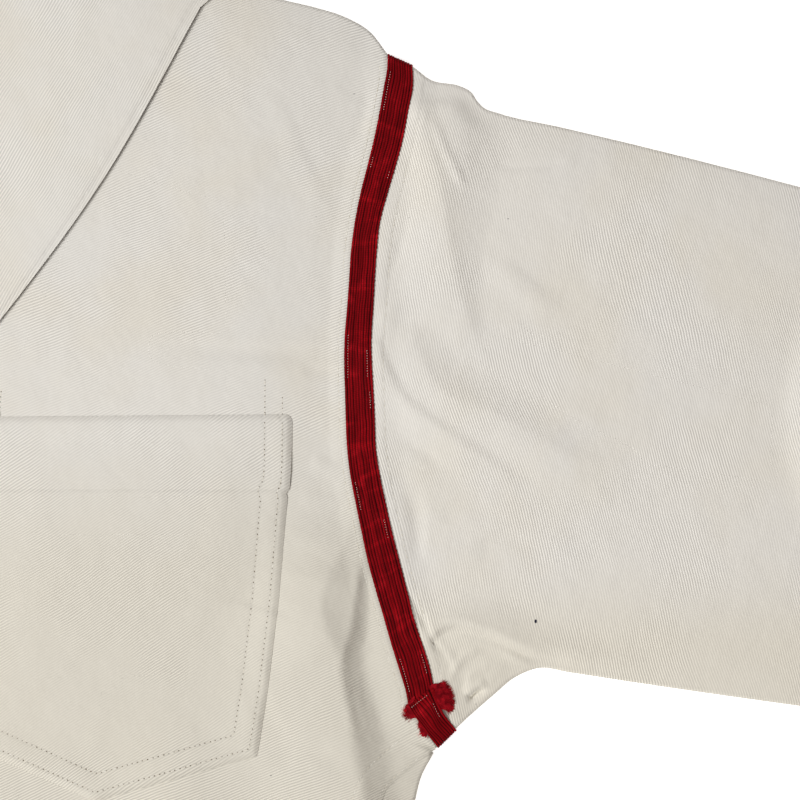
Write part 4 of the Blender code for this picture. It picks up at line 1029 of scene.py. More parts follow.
@dataclass
class Panels(SewnPart):
    """The front and the back of the body.

    Args:
        lap: How far the front's edge covers the back's at the side seam.
        clear: Space between the back's top edge and the end of the front's tail.
        allowances: Width, height and least share of the height at the seam itself of the folded
            allowances beside the armhole and the side seam.
    """

    lap: float = 0.45
    clear: float = 0.6
    allowances: tuple = ((2.7, 0.25, 0.0), (10.6, 0.3, 0.45))

    def edge(self, side: np.ndarray, arm: np.ndarray) -> tuple[np.ndarray, np.ndarray]:
        """Walks up the body's edge from hem to shoulder.

        Args:
            side: Shares of the side.
            arm: Shares of the armhole, after its first point.

        Returns:
            The points, and each one's distance below the armpit.
        """
        p = self.pattern
        low = along(p.side, side)
        high = along(p.armhole, arm)
        below = np.concatenate([p.side[-1, 1] - low[:, 1], np.zeros(len(high))])
        return np.vstack([low, high]), np.clip(below, 0, None)

    def side_rolls(self, below: np.ndarray) -> np.ndarray:
        """The back's way over the side to the front's edge, for each distance below the armpit."""
        p = self.pattern
        rows = zip(*p.seam_row(below))
        return np.array([roll_over(p, roll, tail=max(inset - p.radius, 0.5)) for inset, roll in rows])

    def half_front(self, u: np.ndarray, side: np.ndarray, arm: np.ndarray) -> tuple[np.ndarray, np.ndarray]:
        """Lays out half the front.

        Args:
            u: Shares of the way from the centre to the side.
            side: Shares of the side, for the rows.
            arm: Shares of the armhole, for the rows.

        Returns:
            Places and layers, rows going up and over the shoulder.
        """
        p = self.pattern
        edge, below = self.edge(side, arm)
        rolls = self.side_rolls(below)[:, -1]
        inset, meets = rolls[:, 0], np.where(below > 0, rolls[:, 1], 1.0)
        right = edge - pairs(np.where(below > 0, inset - self.lap * ease(below / 4), 0.0), 0 * inset)
        v = walked(edge) / walked(edge)[-1]
        neck = along(p.neck, u[u < p.neck_share] / p.neck_share)
        shoulder = along(p.shoulder, (u[u >= p.neck_share] - p.neck_share) / (1 - p.neck_share))
        top = np.vstack([neck, shoulder])
        top[-1, 0] = right[-1, 0]
        low = p.hem[0] + u[:, None] * (right[0] - p.hem[0])
        inner_top = top - np.array([0, p.roll])
        inner_top[-1, 0] = p.armhole_x(inner_top[-1, 1])
        keep = right[:, 1] < inner_top[-1, 1] - 0.5
        right, v = np.vstack([right[keep], inner_top[-1]]), np.append(v[keep], 1.0)
        meets = np.append(meets[keep], 1.0)
        v[:-1] *= 1 - p.roll / 600
        left = pairs(np.zeros(len(v)), p.hem[0][1] + v * (inner_top[0, 1] - p.hem[0][1]))
        plan = coons(low, inner_top, left, right, u, v)
        away = np.linalg.norm(plan - right[:, None], axis=-1)
        layer = 1 - (1 - meets[:, None]) * np.clip(1 - away / 12, 0, 1) ** 2
        rolls = np.array([roll_over(p, a) for a in np.clip((u - p.neck_share) / 0.09, 0, 1)])
        for k in range(rolls.shape[1]):
            row = top - pairs(0 * rolls[:, k, 0], rolls[:, k, 0])
            row[-1, 0] = p.armhole_x(row[-1, 1])
            plan = np.concatenate([plan, row[None]])
            layer = np.concatenate([layer, np.clip(1 - rolls[None, :, k, 1], 0, 1)])
        return plan, layer

    def half_back(self, u: np.ndarray, side: np.ndarray, arm: np.ndarray) -> tuple[np.ndarray, np.ndarray]:
        """Lays out half the back; the arguments and results are those of half_front, and the columns go on
        round the side."""
        p = self.pattern
        edge, below = self.edge(side, arm)
        v = walked(edge) / walked(edge)[-1]
        drop = p.radius + p.tail + self.clear
        keep = edge[:, 1] < edge[-1, 1] - drop - 0.5
        last = np.array([p.armhole_x(edge[-1, 1] - drop), edge[-1, 1] - drop])
        edge, below, v = np.vstack([edge[keep], last]), np.append(below[keep], 0.0), np.append(v[keep], 1.0)
        inner = edge - np.array([p.roll, 0])
        share = (u - p.neck_share) / (1 - p.neck_share)
        shoulder = along(p.shoulder, share[share >= 0]) - np.array([0, drop])
        t = u[share < 0] / p.neck_share
        neck = pairs(shoulder[0, 0] * t, -p.back_drop + (shoulder[0, 1] + p.back_drop) * ease(t))
        top = np.vstack([neck, shoulder])
        top[-1] = inner[-1]
        low = p.hem[0] + u[:, None] * (inner[0] - p.hem[0])
        left = pairs(np.zeros(len(v)), p.hem[0][1] + v * (top[0, 1] - p.hem[0][1]))
        plan = coons(low, top, left, inner, u, v)
        layer = np.zeros(plan.shape[:2])
        rolls = self.side_rolls(below)
        for k in range(rolls.shape[1]):
            column = edge - pairs(rolls[:, k, 0], 0 * rolls[:, k, 0])
            plan = np.concatenate([plan, column[:, None]], axis=1)
            layer = np.concatenate([layer, rolls[:, None, k, 1]], axis=1)
        return plan, layer

    @staticmethod
    def whole(left: tuple, right: tuple) -> tuple[np.ndarray, np.ndarray]:
        """Both halves as one sheet, from the wearer's right to the wearer's left."""
        other = right[0][:, :0:-1] * np.array([-1, 1])
        return np.concatenate([other, left[0]], axis=1), np.concatenate([right[1][:, :0:-1], left[1]], axis=1)

    def seam_bands(self, seams: np.ndarray) -> np.ndarray:
        """How far the folded allowances beside the armhole and the side seam raise the front.

        Args:
            seams: What seam_distances gives.

        Returns:
            The rise at each place.
        """
        rise = 0.0
        for k, (width, high, least) in enumerate(self.allowances):
            away = seams[..., k]
            foot = least + (1 - least) * ease((away + 0.2) / 1.4)
            rise = rise + high * ease((width + 0.6 - away) / 1.2) * foot
        return rise

    def seam_distances(self, plan: np.ndarray) -> np.ndarray:
        """Distances from the armhole, the side seam and the hem, for the stitch grooves."""
        p = self.pattern
        half = pairs(np.abs(plan[..., 0]), plan[..., 1])
        arm = nearest(p.armhole, half)[0]
        seam = nearest(p.side_seam(), half)[0]
        hem = half[..., 1] + p.length - p.hem_rise * np.clip(half[..., 0] / p.hem_half, 0, 1)
        return np.stack([arm, seam, hem / 3.0], axis=-1)

    def build(self, finish: Material) -> tuple[Thing, Thing]:
        """Builds both panels.

        Args:
            finish: The cloth's material.

        Returns:
            The front and the back.
        """
        side = bands((0, 0.52, 26), (0.52, 0.86, 18), (0.86, 0.985, 24), (0.985, 1.0, 5))
        arm = np.linspace(0, 1, 176)[1:]
        left = self.half_front(bands((0, 0.38, 34), (0.38, 0.76, 48), (0.76, 1.0, 44)), side, arm)
        right = self.half_front(bands((0, 0.38, 14), (0.38, 1.0, 30)), side, arm)
        plan, layer = self.whole(left, right)
        points = self.relief.place(plan, layer)
        seams = self.seam_distances(plan)
        points[..., 2] += self.seam_bands(seams) * np.clip(2 * layer - 1, 0, 1)
        front = ClothSheet("jumper_front", "front", points, plan, seams).build(self.pattern, finish)
        side, arm = bands((0, 0.86, 50), (0.86, 1.0, 16)), np.linspace(0, 1, 60)[1:]
        half = self.half_back(bands((0, 0.38, 14), (0.38, 1.0, 22)), side, arm)
        plan, layer = self.whole(half, half)
        points = self.relief.place(plan, layer)
        seams = self.seam_distances(plan)
        back = ClothSheet("jumper_back", "back", points, plan, seams, Facing.IN).build(self.pattern, finish)
        return front, back


@dataclass
class Sleeves(SewnPart):
    """Both sleeves, flattened tubes from armhole to cuff.

    Args:
        heading: How far the sleeve runs down from level, in degrees.
        turn_steps: Points round each folded edge.
    """

    heading: float = 15.5
    turn_steps: int = 11

    def rings(self, s: np.ndarray, arm: np.ndarray, below: np.ndarray) -> tuple[np.ndarray, np.ndarray]:
        """Lays out a left sleeve.

        Args:
            s: Shares of the way from armhole to cuff.
            arm: Shares of the way up the armhole, on the upper side.
            below: The same on the lower side.

        Returns:
            Places and layers, a closed ring for each share, its last point on its first.
        """
        p = self.pattern
        dense = np.linspace(0, 1, 241)
        under, top = along(p.sleeve_under, s), along(p.sleeve_top, s)
        grid = coons(under, top, along(p.armhole, dense), along(p.cuff, dense), s, dense)
        turn = np.radians(np.linspace(90, -90, self.turn_steps))
        plan, layer = [], []
        for i in range(len(s)):
            chord = grid[:, i]
            rim = p.radius / length_of(chord)
            upper = np.clip(arm[1:-1], rim * 1.2, 1 - rim * 1.2)
            lower = np.clip(below[1:-1], rim * 1.2, 1 - rim * 1.2)[::-1]
            end = rim * (1 - np.cos(turn))
            share = np.concatenate([upper, 1 - end, lower, end, upper[:1]])
            plan.append(along(chord, share))
            parts = (
                np.ones(len(upper)),
                (1 + np.sin(turn)) / 2,
                np.zeros(len(lower)),
                (1 - np.sin(turn)) / 2,
                np.ones(1),
            )
            layer.append(np.concatenate(parts))
        return np.array(plan), np.array(layer)

    def one(self, side: int, name: str, node: str, grids: tuple, finish: Material) -> Thing:
        """Builds a sleeve.

        Args:
            side: 1 for the wearer's left, -1 for the right.
            name: The object's name.
            node: The CAD node that it replaces.
            grids: The arguments of rings.
            finish: The cloth's material.

        Returns:
            The sleeve.
        """
        plan, layer = self.rings(*grids)
        p = self.pattern
        arm = nearest(p.armhole, plan)[0]
        cuff = nearest(p.cuff, plan)[0]
        seams = np.stack([arm, 60 + 0 * arm, cuff / 3.0], axis=-1)
        turned = math.radians(self.heading)
        grain = pairs(
            plan[..., 0] * math.cos(turned) - plan[..., 1] * math.sin(turned),
            plan[..., 0] * math.sin(turned) + plan[..., 1] * math.cos(turned),
        )
        plan = plan * np.array([side, 1])
        points = self.relief.place(plan, layer)
        facing = Facing.IN if side > 0 else Facing.OUT
        return ClothSheet(name, node, points, grain, seams, facing, around=True).build(p, finish)

    def build(self, finish: Material) -> tuple[Thing, Thing]:
        """Builds both sleeves, the left one first."""
        s = bands((0, 0.15, 66), (0.15, 0.34, 36), (0.34, 1.0, 50))
        grids = (s, np.linspace(0, 1, 160), np.linspace(0, 1, 44))
        left = self.one(1, "sleeve_left_cloth", "sleeve_left", grids, finish)
        s = bands((0, 0.15, 24), (0.15, 1.0, 70))
        grids = (s, np.linspace(0, 1, 64), np.linspace(0, 1, 40))
        return left, self.one(-1, "sleeve_right_cloth", "sleeve_right", grids, finish)


@dataclass
class Collar(SewnPart):
    """The sailor collar, lapels in front and a square flap behind."""

    clearance: float = 0.15

    def layout(self, shares: np.ndarray, fronts: np.ndarray, backs: int) -> tuple[np.ndarray, np.ndarray]:
        """Lays out the whole collar.

        Args:
            shares: Shares of the way from the neckline to the outer edge.
            fronts: Shares of the way up the lapels.
            backs: Rows on each half of the flap.

        Returns:
            Places and layers, from the left lapel's foot round the back to the right one's.
        """
        p = self.pattern
        lift = p.cloth + p.collar_gap
        foot, shoulder_end = (6.0, -p.neck_drop - 22.0), (p.collar_half, -31.2)
        outer_line = smooth_path((foot, (62.0, -192.0), (124.0, -110.0), shoulder_end))
        inner_line = p.neck - np.array([2.0, 0.0]) * ease(np.linspace(0, 3, len(p.neck)))[:, None]
        inner, outer = along(inner_line, fronts), along(outer_line, fronts)
        inner[0] += (0.6, -4.0)
        rows = [a + shares[:, None] * (b - a) for a, b in zip(inner[:-1], outer[:-1])]
        rows = [row for row in rows if row[:, 1].max() < -12]
        layers = [np.ones(len(shares))] * len(rows)
        shoulder_out = np.interp(p.collar_half, p.shoulder[:, 0], p.shoulder[:, 1])
        neck_end, shoulder_end = np.array([p.neck_half - 2, 0.8]), np.array([p.collar_half, shoulder_out])
        ridge = neck_end + shares[:, None] * (shoulder_end - neck_end)
        rolled = roll_over(p, 1.0, lift, tail=10.0)
        for inward, travelled in rolled:
            rows.append(ridge + np.array([0, lift - inward]))
            layers.append(np.full(len(shares), 1 - travelled))
        below = ridge + np.array([0, lift - rolled[-1][0]])
        dip = -p.back_drop + 3
        for k in range(1, backs + 1):
            t = k / backs
            start = np.array([p.neck_half * (1 - t), dip + (below[0, 1] - dip) * (1 - t) ** 2])
            if t <= 0.5:
                end = np.array([p.collar_half, below[-1, 1] + (-p.collar_depth - below[-1, 1]) * 2 * t])
            else:
                end = np.array([p.collar_half * 2 * (1 - t), -p.collar_depth])
            rows.append(start + shares[:, None] * (end - start))
            layers.append(np.zeros(len(shares)))
        plan, layer = np.array(rows), np.array(layers)
        other = plan[-2::-1] * np.array([-1, 1])
        return np.concatenate([plan, other]), np.concatenate([layer, layer[-2::-1]])

    def build(self, finish: Material) -> Thing:
        """Builds the collar."""
        p = self.pattern
        shares = np.linspace(0, 1, 31)
        plan, layer = self.layout(shares, np.linspace(0, 1, 80), 40)
        points = self.relief.place(plan, layer, p.cloth + p.collar_gap)
        points[..., 2] += self.clearance * layer
        rims = np.minimum(shares, 1 - shares) * 84.0
        edge = np.broadcast_to(rims, plan.shape[:2])
        seams = np.stack([edge / 1.6 + 0.6, 60 + 0 * edge, 60 + 0 * edge], axis=-1)
        return ClothSheet("sailor_collar", "collar", points, plan, seams).build(p, finish)


@dataclass
class BreastPocket(SewnPart):
    """The patch pocket on the wearer's left breast."""

    proud: float = 0.8
    right: tuple = (
        (183.2, -334.2), (187.3, -309.0), (191.6, -273.8), (194.2, -241.0), (194.9, -234.2),
        (194.4, -232.4), (195.7, -230.4), (196.3, -221.0), (196.8, -205.0), (196.4, -203.2), (195.2, -202.0),
    )
    left: tuple = ((62.0, -326.0), (68.0, -270.0), (73.0, -203.0))
    point: tuple[float, float] = (120.0, -352.0)
    hem: float = 231.3

    def outline(self) -> np.ndarray:
        """The pocket's edge, from its top left corner round the bottom to its top right one."""
        return np.array([*self.left[::-1], self.point, *self.right])

    def heights(self, plan: np.ndarray) -> np.ndarray:
        """Z of the pocket's middle at places in plan."""
        closed = np.vstack([self.outline(), self.outline()[:1]])
        edge = nearest(closed, plan)[0]
        roll = 0.75 * np.exp(-((edge / 1.5) ** 2)) + 0.33 * np.exp(-((edge / 0.6) ** 2))
        mouth = np.array([self.left[-1], self.right[-1]])
        from_top = nearest(mouth, plan)[0]
        from_side = nearest(np.array(self.right), plan)[0]
        gape = 0.1 * np.exp(-((from_top / 2.5) ** 2))
        gape = gape + 0.6 * np.exp(-(((plan[..., 1] + 224.0) / 9.0) ** 2) - (from_side / 5.0) ** 2)
        belly = 0.6 * ease((edge - 9) / 22)
        swell = 0.12 * np.exp(-(((edge - 6.0) / 2.4) ** 2))
        return self.relief.top_side(plan) + self.proud - roll + belly + swell + gape

    def build(self, finish: Material) -> Thing:
        """Builds the pocket."""
        across = bands((0, 0.03, 4), (0.03, 0.7, 50), (0.7, 0.97, 34), (0.97, 1.0, 5))
        up = bands((0, 0.03, 5), (0.03, 0.97, 110), (0.97, 1.0, 5))
        plan = coons(
            along(np.array([self.left[0], self.point, self.right[0]]), across),
            along(np.array([self.left[-1], self.right[-1]]), across),
            along(np.array(self.left), up),
            along(np.array(self.right), up),
            across,
            up,
        )
        points = np.concatenate([plan, self.heights(plan)[..., None]], axis=-1)
        edge = nearest(self.outline(), plan)[0]
        hem = np.abs(plan[..., 1] + self.hem)
        seams = np.stack([60 + 0 * edge, edge - 2.5, hem + 2.0], axis=-1)
        patch = ClothSheet("breast_pocket", "chest_pocket", points, plan, seams, wall=0.9)
        return patch.build(self.pattern, finish)


@dataclass
class Braid(SewnPart):
    """The ribbed braid round the left armhole, one strip whose turned end lies on its raw one."""

    grooves: tuple = (0.35, 1.3, 0.8, 1.1, 0.6, 0.95, 0.7, 1.15, 0.75, 1.4, 0.4)
    per_rib: int = 3
    rib: float = 0.34
    thick: float = 0.5
    start: float = 13.5
    end: tuple[float, float] = (19.6, 18.8)
    gap: float = -0.2
    loop: float = 1.9
    dots: tuple = (
        (0.15, -83.5, -67.0), (0.15, -106.0, -101.0), (0.14, -188.0, -170.5), (0.14, -240.0, -228.0), (0.15,
        -311.0, -297.0), (0.84, -108.5, -105.0), (0.83, -189.0, -177.5), (0.85, -202.0, -194.5), (0.84,
        -254.0, -246.0), (0.85, -309.0, -300.5),
    )
    steps: tuple[int, int, int, int] = (560, 11, 130, 48)
    inner: tuple = (
        (253.2, -331.1), (246.6, -322.0), (242.4, -315.2), (240.8, -308.5), (238.8, -301.9),
        (235.4, -291.0), (232.3, -280.1), (229.1, -269.2), (226.1, -258.3), (223.8, -247.4),
        (221.6, -236.5), (219.5, -225.6), (218.2, -214.7), (217.7, -203.8), (217.4, -192.9),
        (217.1, -182.1), (217.3, -171.2), (218.2, -160.3), (219.0, -149.4), (219.7, -138.5),
        (221.1, -127.6), (223.2, -116.7), (225.9, -105.8), (228.6, -94.9), (230.8, -84.0),
        (232.7, -73.1), (233.7, -67.7), (233.9, -62.0),
    )
    outer: tuple = (
        (260.3, -324.2), (255.6, -317.6), (252.6, -311.0), (250.8, -301.9), (247.5, -291.0),
        (244.0, -280.1), (241.3, -269.2), (238.5, -258.3), (235.7, -247.4), (233.3, -236.5),
        (231.0, -225.6), (229.4, -214.7), (229.0, -203.8), (228.5, -192.9), (227.9, -182.1),
        (227.7, -171.2), (228.4, -160.3), (229.0, -149.4), (229.7, -138.5), (230.9, -127.6),
        (233.7, -116.7), (236.9, -105.8), (239.9, -94.9), (242.0, -84.0), (243.8, -73.1),
        (243.6, -66.3),
    )

    def run(self, line: np.ndarray, share: float, lift: float, top_lift: float) -> tuple[np.ndarray, ...]:
        """Follows one lengthwise line of the braid.

        Args:
            line: Its line on the sleeve, from armpit to shoulder.
            share: Its share of the way across.
            lift: How far it lies outside the sleeve's middle.
            top_lift: The same where it lies on its own raw end.

        Returns:
            Places, layers and lifts.
        """
        r = self.pattern.radius
        whole = length_of(line)
        long, arc, back, tail = self.steps
        turns = np.radians(np.linspace(75, -75, arc))
        end = self.end[0] + (self.end[1] - self.end[0]) * share
        up = self.start + (whole - r - self.start) * np.linspace(0, 1, long)
        down = (whole - r) + (2 * r - whole) * np.linspace(0, 1, back)
        over = whole - r + (r + lift) * np.cos(turns)
        under = r - (r + lift) * np.cos(turns)
        last = np.linspace(r + 0.8, end, tail)
        curl = (end - last) / 0.9
        rising = np.sin(turns)
        layer = (np.ones(long), (1 + rising) / 2, np.zeros(back), (1 - rising) / 2, np.ones(tail))
        run = np.concatenate([up, over, down, under, last])
        lifts = np.full(len(run), lift)
        lifts[-tail:] += (top_lift - lift) * ease((last - 2.5) / 6) + 0.35 * np.exp(-((curl - 1.1) ** 2))
        lifts[-tail:] -= 0.55 * (1 - ease(curl / 0.7))
        return past_ends(line, run), np.concatenate(layer), lifts

    def build(self, finish: Material, thread: Material) -> tuple[Thing, ...]:
        """Builds the braid.

        Args:
            finish: The braid's material.
            thread: The material of the stitches that hold it.

        Returns:
            The braid and its stitches.
        """
        p = self.pattern
        ribs = len(self.grooves) - 1
        columns = ribs * self.per_rib + 1
        lift = p.cloth / 2 + self.gap + self.thick / 2
        top_lift = lift + self.thick + self.rib + 0.25
        even = np.linspace(0, 1, 500)
        sides = [along(smooth_path(line), even) for line in (self.inner, self.outer)]
        across = np.linspace(0, 1, columns)
        runs = [self.run(sides[0] + (sides[1] - sides[0]) * k, k, lift, top_lift) for k in across]
        plan, layer, lifts = (np.stack(part, axis=1) for part in zip(*runs))
        points = self.relief.place(plan, layer, lifts)
        run = walked(points[:, columns // 2])
        self.wander(points, run, across)
        grain = np.stack(np.meshgrid(across * p.braid_width, run), axis=-1)
        crest = np.abs(np.sin(math.pi * ribs * across)) ** 0.6
        depth = np.interp(across * ribs, np.arange(ribs + 1), self.grooves)
        places = [[Vector((9.0 * u, w * 0.09, 3.0)) for u in across] for w in run]
        fade = np.array([[0.75 + 0.5 * noise.noise(place) for place in row] for row in places])
        ribbing = self.rib * (1 - depth[None] * (1 - crest[None])) * fade
        # crest and depth also drive the braid's painted shade in its grooves
        tone = np.stack(np.broadcast_arrays(crest, depth, fade), axis=-1)
        sheet = ClothSheet("armhole_braid", "shoulder_braid", points, grain, tone)
        sheet.half = self.thick / 2 + np.clip(ribbing, -0.1, None)[..., None]
        sheet.wall = self.thick
        braid = sheet.build(p, finish)
        return braid, self.stitches(sheet.outer(), thread)

    def stitches(self, outer: np.ndarray, thread: Material) -> Thing:
        """Sews the tiny pale stitches that hold the braid, where they show.

        Args:
            outer: Points of the braid's outer side.
            thread: Their material.

        Returns:
            The stitches.
        """
        long, tail = self.steps[0], self.steps[3]
        last = outer.shape[1] - 1
        paths = []
        for share, low, high in self.dots:
            rows = outer[:long]
            rows = rows[(rows[:, 0, 1] > low) & (rows[:, 0, 1] < high)]
            paths.append(rows[:, round(share * last)])
        paths += [outer[-4, 3:-6], outer[-tail + 16 : -14, -6]]
        model = bmesh.new()
        for path in paths:
            sew(model, self.pattern.to_frame(path), BEAD)
        return join_frame(finished("braid_stitches", model, thread))

    def wander(self, points: np.ndarray, run: np.ndarray, across: np.ndarray) -> None:
        """Lets the ribs sway a little and scallops the outer edge with the braid's loops.

        Args:
            points: The braid's grid, changed in place.
            run: Distance along the braid for each row.
            across: Share of the way across for each column.
        """
        side = points[:, -1] - points[:, 0]
        side /= np.linalg.norm(side, axis=1)[:, None]
        within = np.sin(math.pi * across)
        sway = np.array([[noise.noise(Vector((2.5 * u, w * 0.11, 7.0))) for u in across] for w in run])
        shift = 0.55 * sway * within[None]
        tail = self.steps[3]
        bent = -1.7 * (np.linspace(0.0, 1.0, tail)[:, None] ** 1.6) * within[None] ** 0.7
        shift[-tail:] += bent + 0.7 * sway[-tail:] * within[None]
        uneven = np.array([0.75 + 0.9 * noise.noise(Vector((w * 0.3, 5.0, 0.0))) for w in run])
        loops = (np.abs(np.sin(math.pi * run / self.loop)) - 0.5) * uneven
        shift += 0.24 * loops[:, None] * np.clip(across[None] * 6 - 5, 0, 1)
        shift += 0.08 * loops[:, None] * np.clip(1 - across[None] * 6, 0, 1)
        points += shift[..., None] * side[:, None]


@dataclass(frozen=True)
class Tuft:
    """Loose yarns that fan out from under the braid.

    Args:
        root: Where they come out, in pattern millimetres.
        along: Half the length of the line that they come out of, and its heading in degrees.
        heading: Their middle heading in degrees.
        fan: How far the headings spread to each side.
        reach: Length of the longest ones.
        count: How many there are.
        pile: Height of the middle of the tuft.
        ragged: 0 for even ends, 1 for very uneven ones.
    """

    root: tuple[float, float]
    along: tuple[float, float]
    heading: float
    fan: float
    reach: float
    count: int
    pile: float
    ragged: float


@dataclass
class FrayedEnd(SewnPart):
    """The loose yarns at the braid's raw end, in tufts that stand out from under the turned end."""

    seed: int = 11
    yarn: float = 0.13
    tufts: tuple[Tuft, ...] = (
        Tuft((252.9, -311.4), (4.6, -72.0), -2.0, 18.0, 7.6, 640, 1.7, 0.06),
        Tuft((244.6, -315.6), (3.6, -75.0), 214.0, 20.0, 6.8, 260, 1.2, 0.5),
        Tuft((248.8, -321.6), (3.6, -58.0), 246.0, 18.0, 7.0, 380, 1.2, 0.14),
    )

    def strand(self, model: BMesh, path: np.ndarray, width: float) -> None:
        """Draws one tapered yarn.

        Args:
            model: The mesh that it goes into.
            path: Its points, in the shared frame.
            width: Its radius at the root, in metres.
        """
        heading = Vector(path[1] - path[0]).normalized()
        turn = heading.to_track_quat("Z", "Y").to_matrix().to_4x4()
        root = Matrix.Translation(path[0]) @ turn
        ring = bmesh.ops.create_circle(model, segments=3, radius=width, cap_ends=True, matrix=root)["verts"]
        face = ring[0].link_faces[0]
        for k in range(1, len(path)):
            grown = bmesh.ops.extrude_face_region(model, geom=[face])["geom"]
            face = next(part for part in grown if isinstance(part, bmesh.types.BMFace))
            bmesh.ops.translate(model, vec=Vector(path[k] - path[k - 1]), verts=face.verts)
            slim = 0.9 if k < len(path) - 1 else 0.45
            centre = Matrix.Translation(-face.calc_center_median())
            bmesh.ops.scale(model, vec=(slim, slim, slim), space=centre, verts=face.verts)

    def paths(self, tuft: Tuft, chance: random.Random) -> list[np.ndarray]:
        """Lays out a tuft's yarns.

        Args:
            tuft: The tuft.
            chance: The source of its unevenness.

        Returns:
            The yarns' points, in the shared frame.
        """
        half, slant = tuft.along
        base = np.array([math.cos(math.radians(slant)), math.sin(math.radians(slant))])
        paths = []
        for _ in range(tuft.count):
            share = chance.uniform(-1, 1)
            place = np.array(tuft.root) + base * half * share
            angle = math.radians(tuft.heading - tuft.fan * share * chance.uniform(0.75, 1.1))
            angle += chance.gauss(0, 0.07)
            high = chance.uniform(0, 1)
            bound = math.sqrt(max(1 - 0.45 * share * share, 0.0))
            long = tuft.reach * bound * (1 - 0.2 * high) * (1 - tuft.ragged * chance.random() ** 1.5)
            curl = chance.gauss(0, 0.14)
            plan = [place - 1.2 * np.array([math.cos(angle), math.sin(angle)])]
            for k in range(5):
                turned = angle + curl * (k - 1) + chance.gauss(0, 0.06)
                plan.append(plan[-1] + (long + 1.2) / 5 * np.array([math.cos(turned), math.sin(turned)]))
            plan = np.array(plan)
            level = self.relief.top_side(plan) + 0.15
            level += tuft.pile * (0.15 + 0.85 * high) * np.sin(np.linspace(0.7, 3.0, len(plan))) * bound
            paths.append(self.pattern.to_frame(np.column_stack([plan, level])))
        return paths

    def build(self, finish: Material) -> Thing:
        """Builds the tufts."""
        chance = random.Random(self.seed)
        whole = bmesh.new()
        for tuft in self.tufts:
            paths = self.paths(tuft, chance)
            for first in range(0, len(paths), 30):
                with part_of(whole) as part:
                    for path in paths[first : first + 30]:
                        self.strand(part, path, self.yarn * METRE)
        bmesh.ops.recalc_face_normals(whole, faces=whole.faces)
        tuft = finished("frayed_yarns", whole, finish)
        return join_frame(tuft, "braid_frayed_end")


@dataclass(frozen=True)
class Stitch:
    """One kind of stitch.

    Args:
        pitch: Distance from one to the next, in millimetres.
        long: Length of one.
        thread: Radius of its thread.
        sunk: Shares of the radius that it lies in the cloth, at least and at most.
        shaded_hole: Radius of the dark discs of painted shade that stand for the needle holes between them, 0
            for none that show.
    """

    pitch: float
    long: float
    thread: float
    sunk: tuple[float, float]
    shaded_hole: float = 0.0


LOCKSTITCH = Stitch(2.2, 2.1, 0.17, (0.2, 0.6))
# stitches with dark discs of painted shade in their needle holes
PIERCED = Stitch(2.1, 1.75, 0.17, (0.2, 0.6), 0.25)
BEAD = Stitch(1.0, 0.3, 0.14, (-0.3, 0.3))
SHADED_HOLE_DEPTH = 0.00007


def add_bead(part: BMesh, matrix: Matrix) -> list[bmesh.types.BMVert]:
    """Adds a small ball, stretched and placed by a matrix, and gives back its vertices."""
    return bmesh.ops.create_icosphere(part, subdivisions=1, radius=1.0, matrix=matrix)["verts"]


def sew(whole: BMesh, path: np.ndarray, kind: Stitch) -> None:
    """Sews one row of stitches.

    Args:
        whole: The mesh that it goes into.
        path: The row's line, in the shared frame.
        kind: The stitches.
    """
    chance = random.Random(len(whole.verts))
    length = length_of(path)
    count = max(1, round(length / (kind.pitch * METRE)))
    half = kind.long * METRE / 2 / length
    middles = (np.arange(count) + 0.5 + [chance.uniform(-0.08, 0.08) for _ in range(count)]) / count
    thick = kind.thread * METRE
    for first in range(0, count, 40):
        with part_of(whole) as part:
            dip = part.verts.layers.float_vector.new("rows")
            for middle in middles[first : first + 40]:
                a, b, end = along(path, np.clip([middle - half, middle + half, middle + 0.5 / count], 0, 1))
                heading = Vector(b - a)
                turn = heading.to_track_quat("X", "Z").to_matrix().to_4x4()
                centre = (Vector(a) + Vector(b)) / 2 - Vector((0, 0, chance.uniform(*kind.sunk) * thick))
                size = Matrix.Diagonal((heading.length / 2, thick, thick, 1.0))
                add_bead(part, Matrix.Translation(centre) @ turn @ size)
                # a flat dark disc in each needle hole between stitches, painted shade
                if kind.shaded_hole:
                    wide = kind.shaded_hole * METRE * chance.uniform(0.7, 1.15)
                    size = Matrix.Diagonal((wide * 1.2, wide, SHADED_HOLE_DEPTH, 1.0))
                    for vertex in add_bead(part, Matrix.Translation(end) @ turn @ size):
                        vertex[dip] = (1.0, 0.0, 0.0)


@contextmanager
def part_of(whole: BMesh) -> Iterator[BMesh]:
    """A small mesh that is added to a large one when it is done.

    Args:
        whole: The large mesh.

    Yields:
        The small mesh.
    """
    part = bmesh.new()
    yield part
    mesh = bpy.data.meshes.new("part")
    part.to_mesh(mesh)
    part.free()
    whole.from_mesh(mesh)
    bpy.data.meshes.remove(mesh)


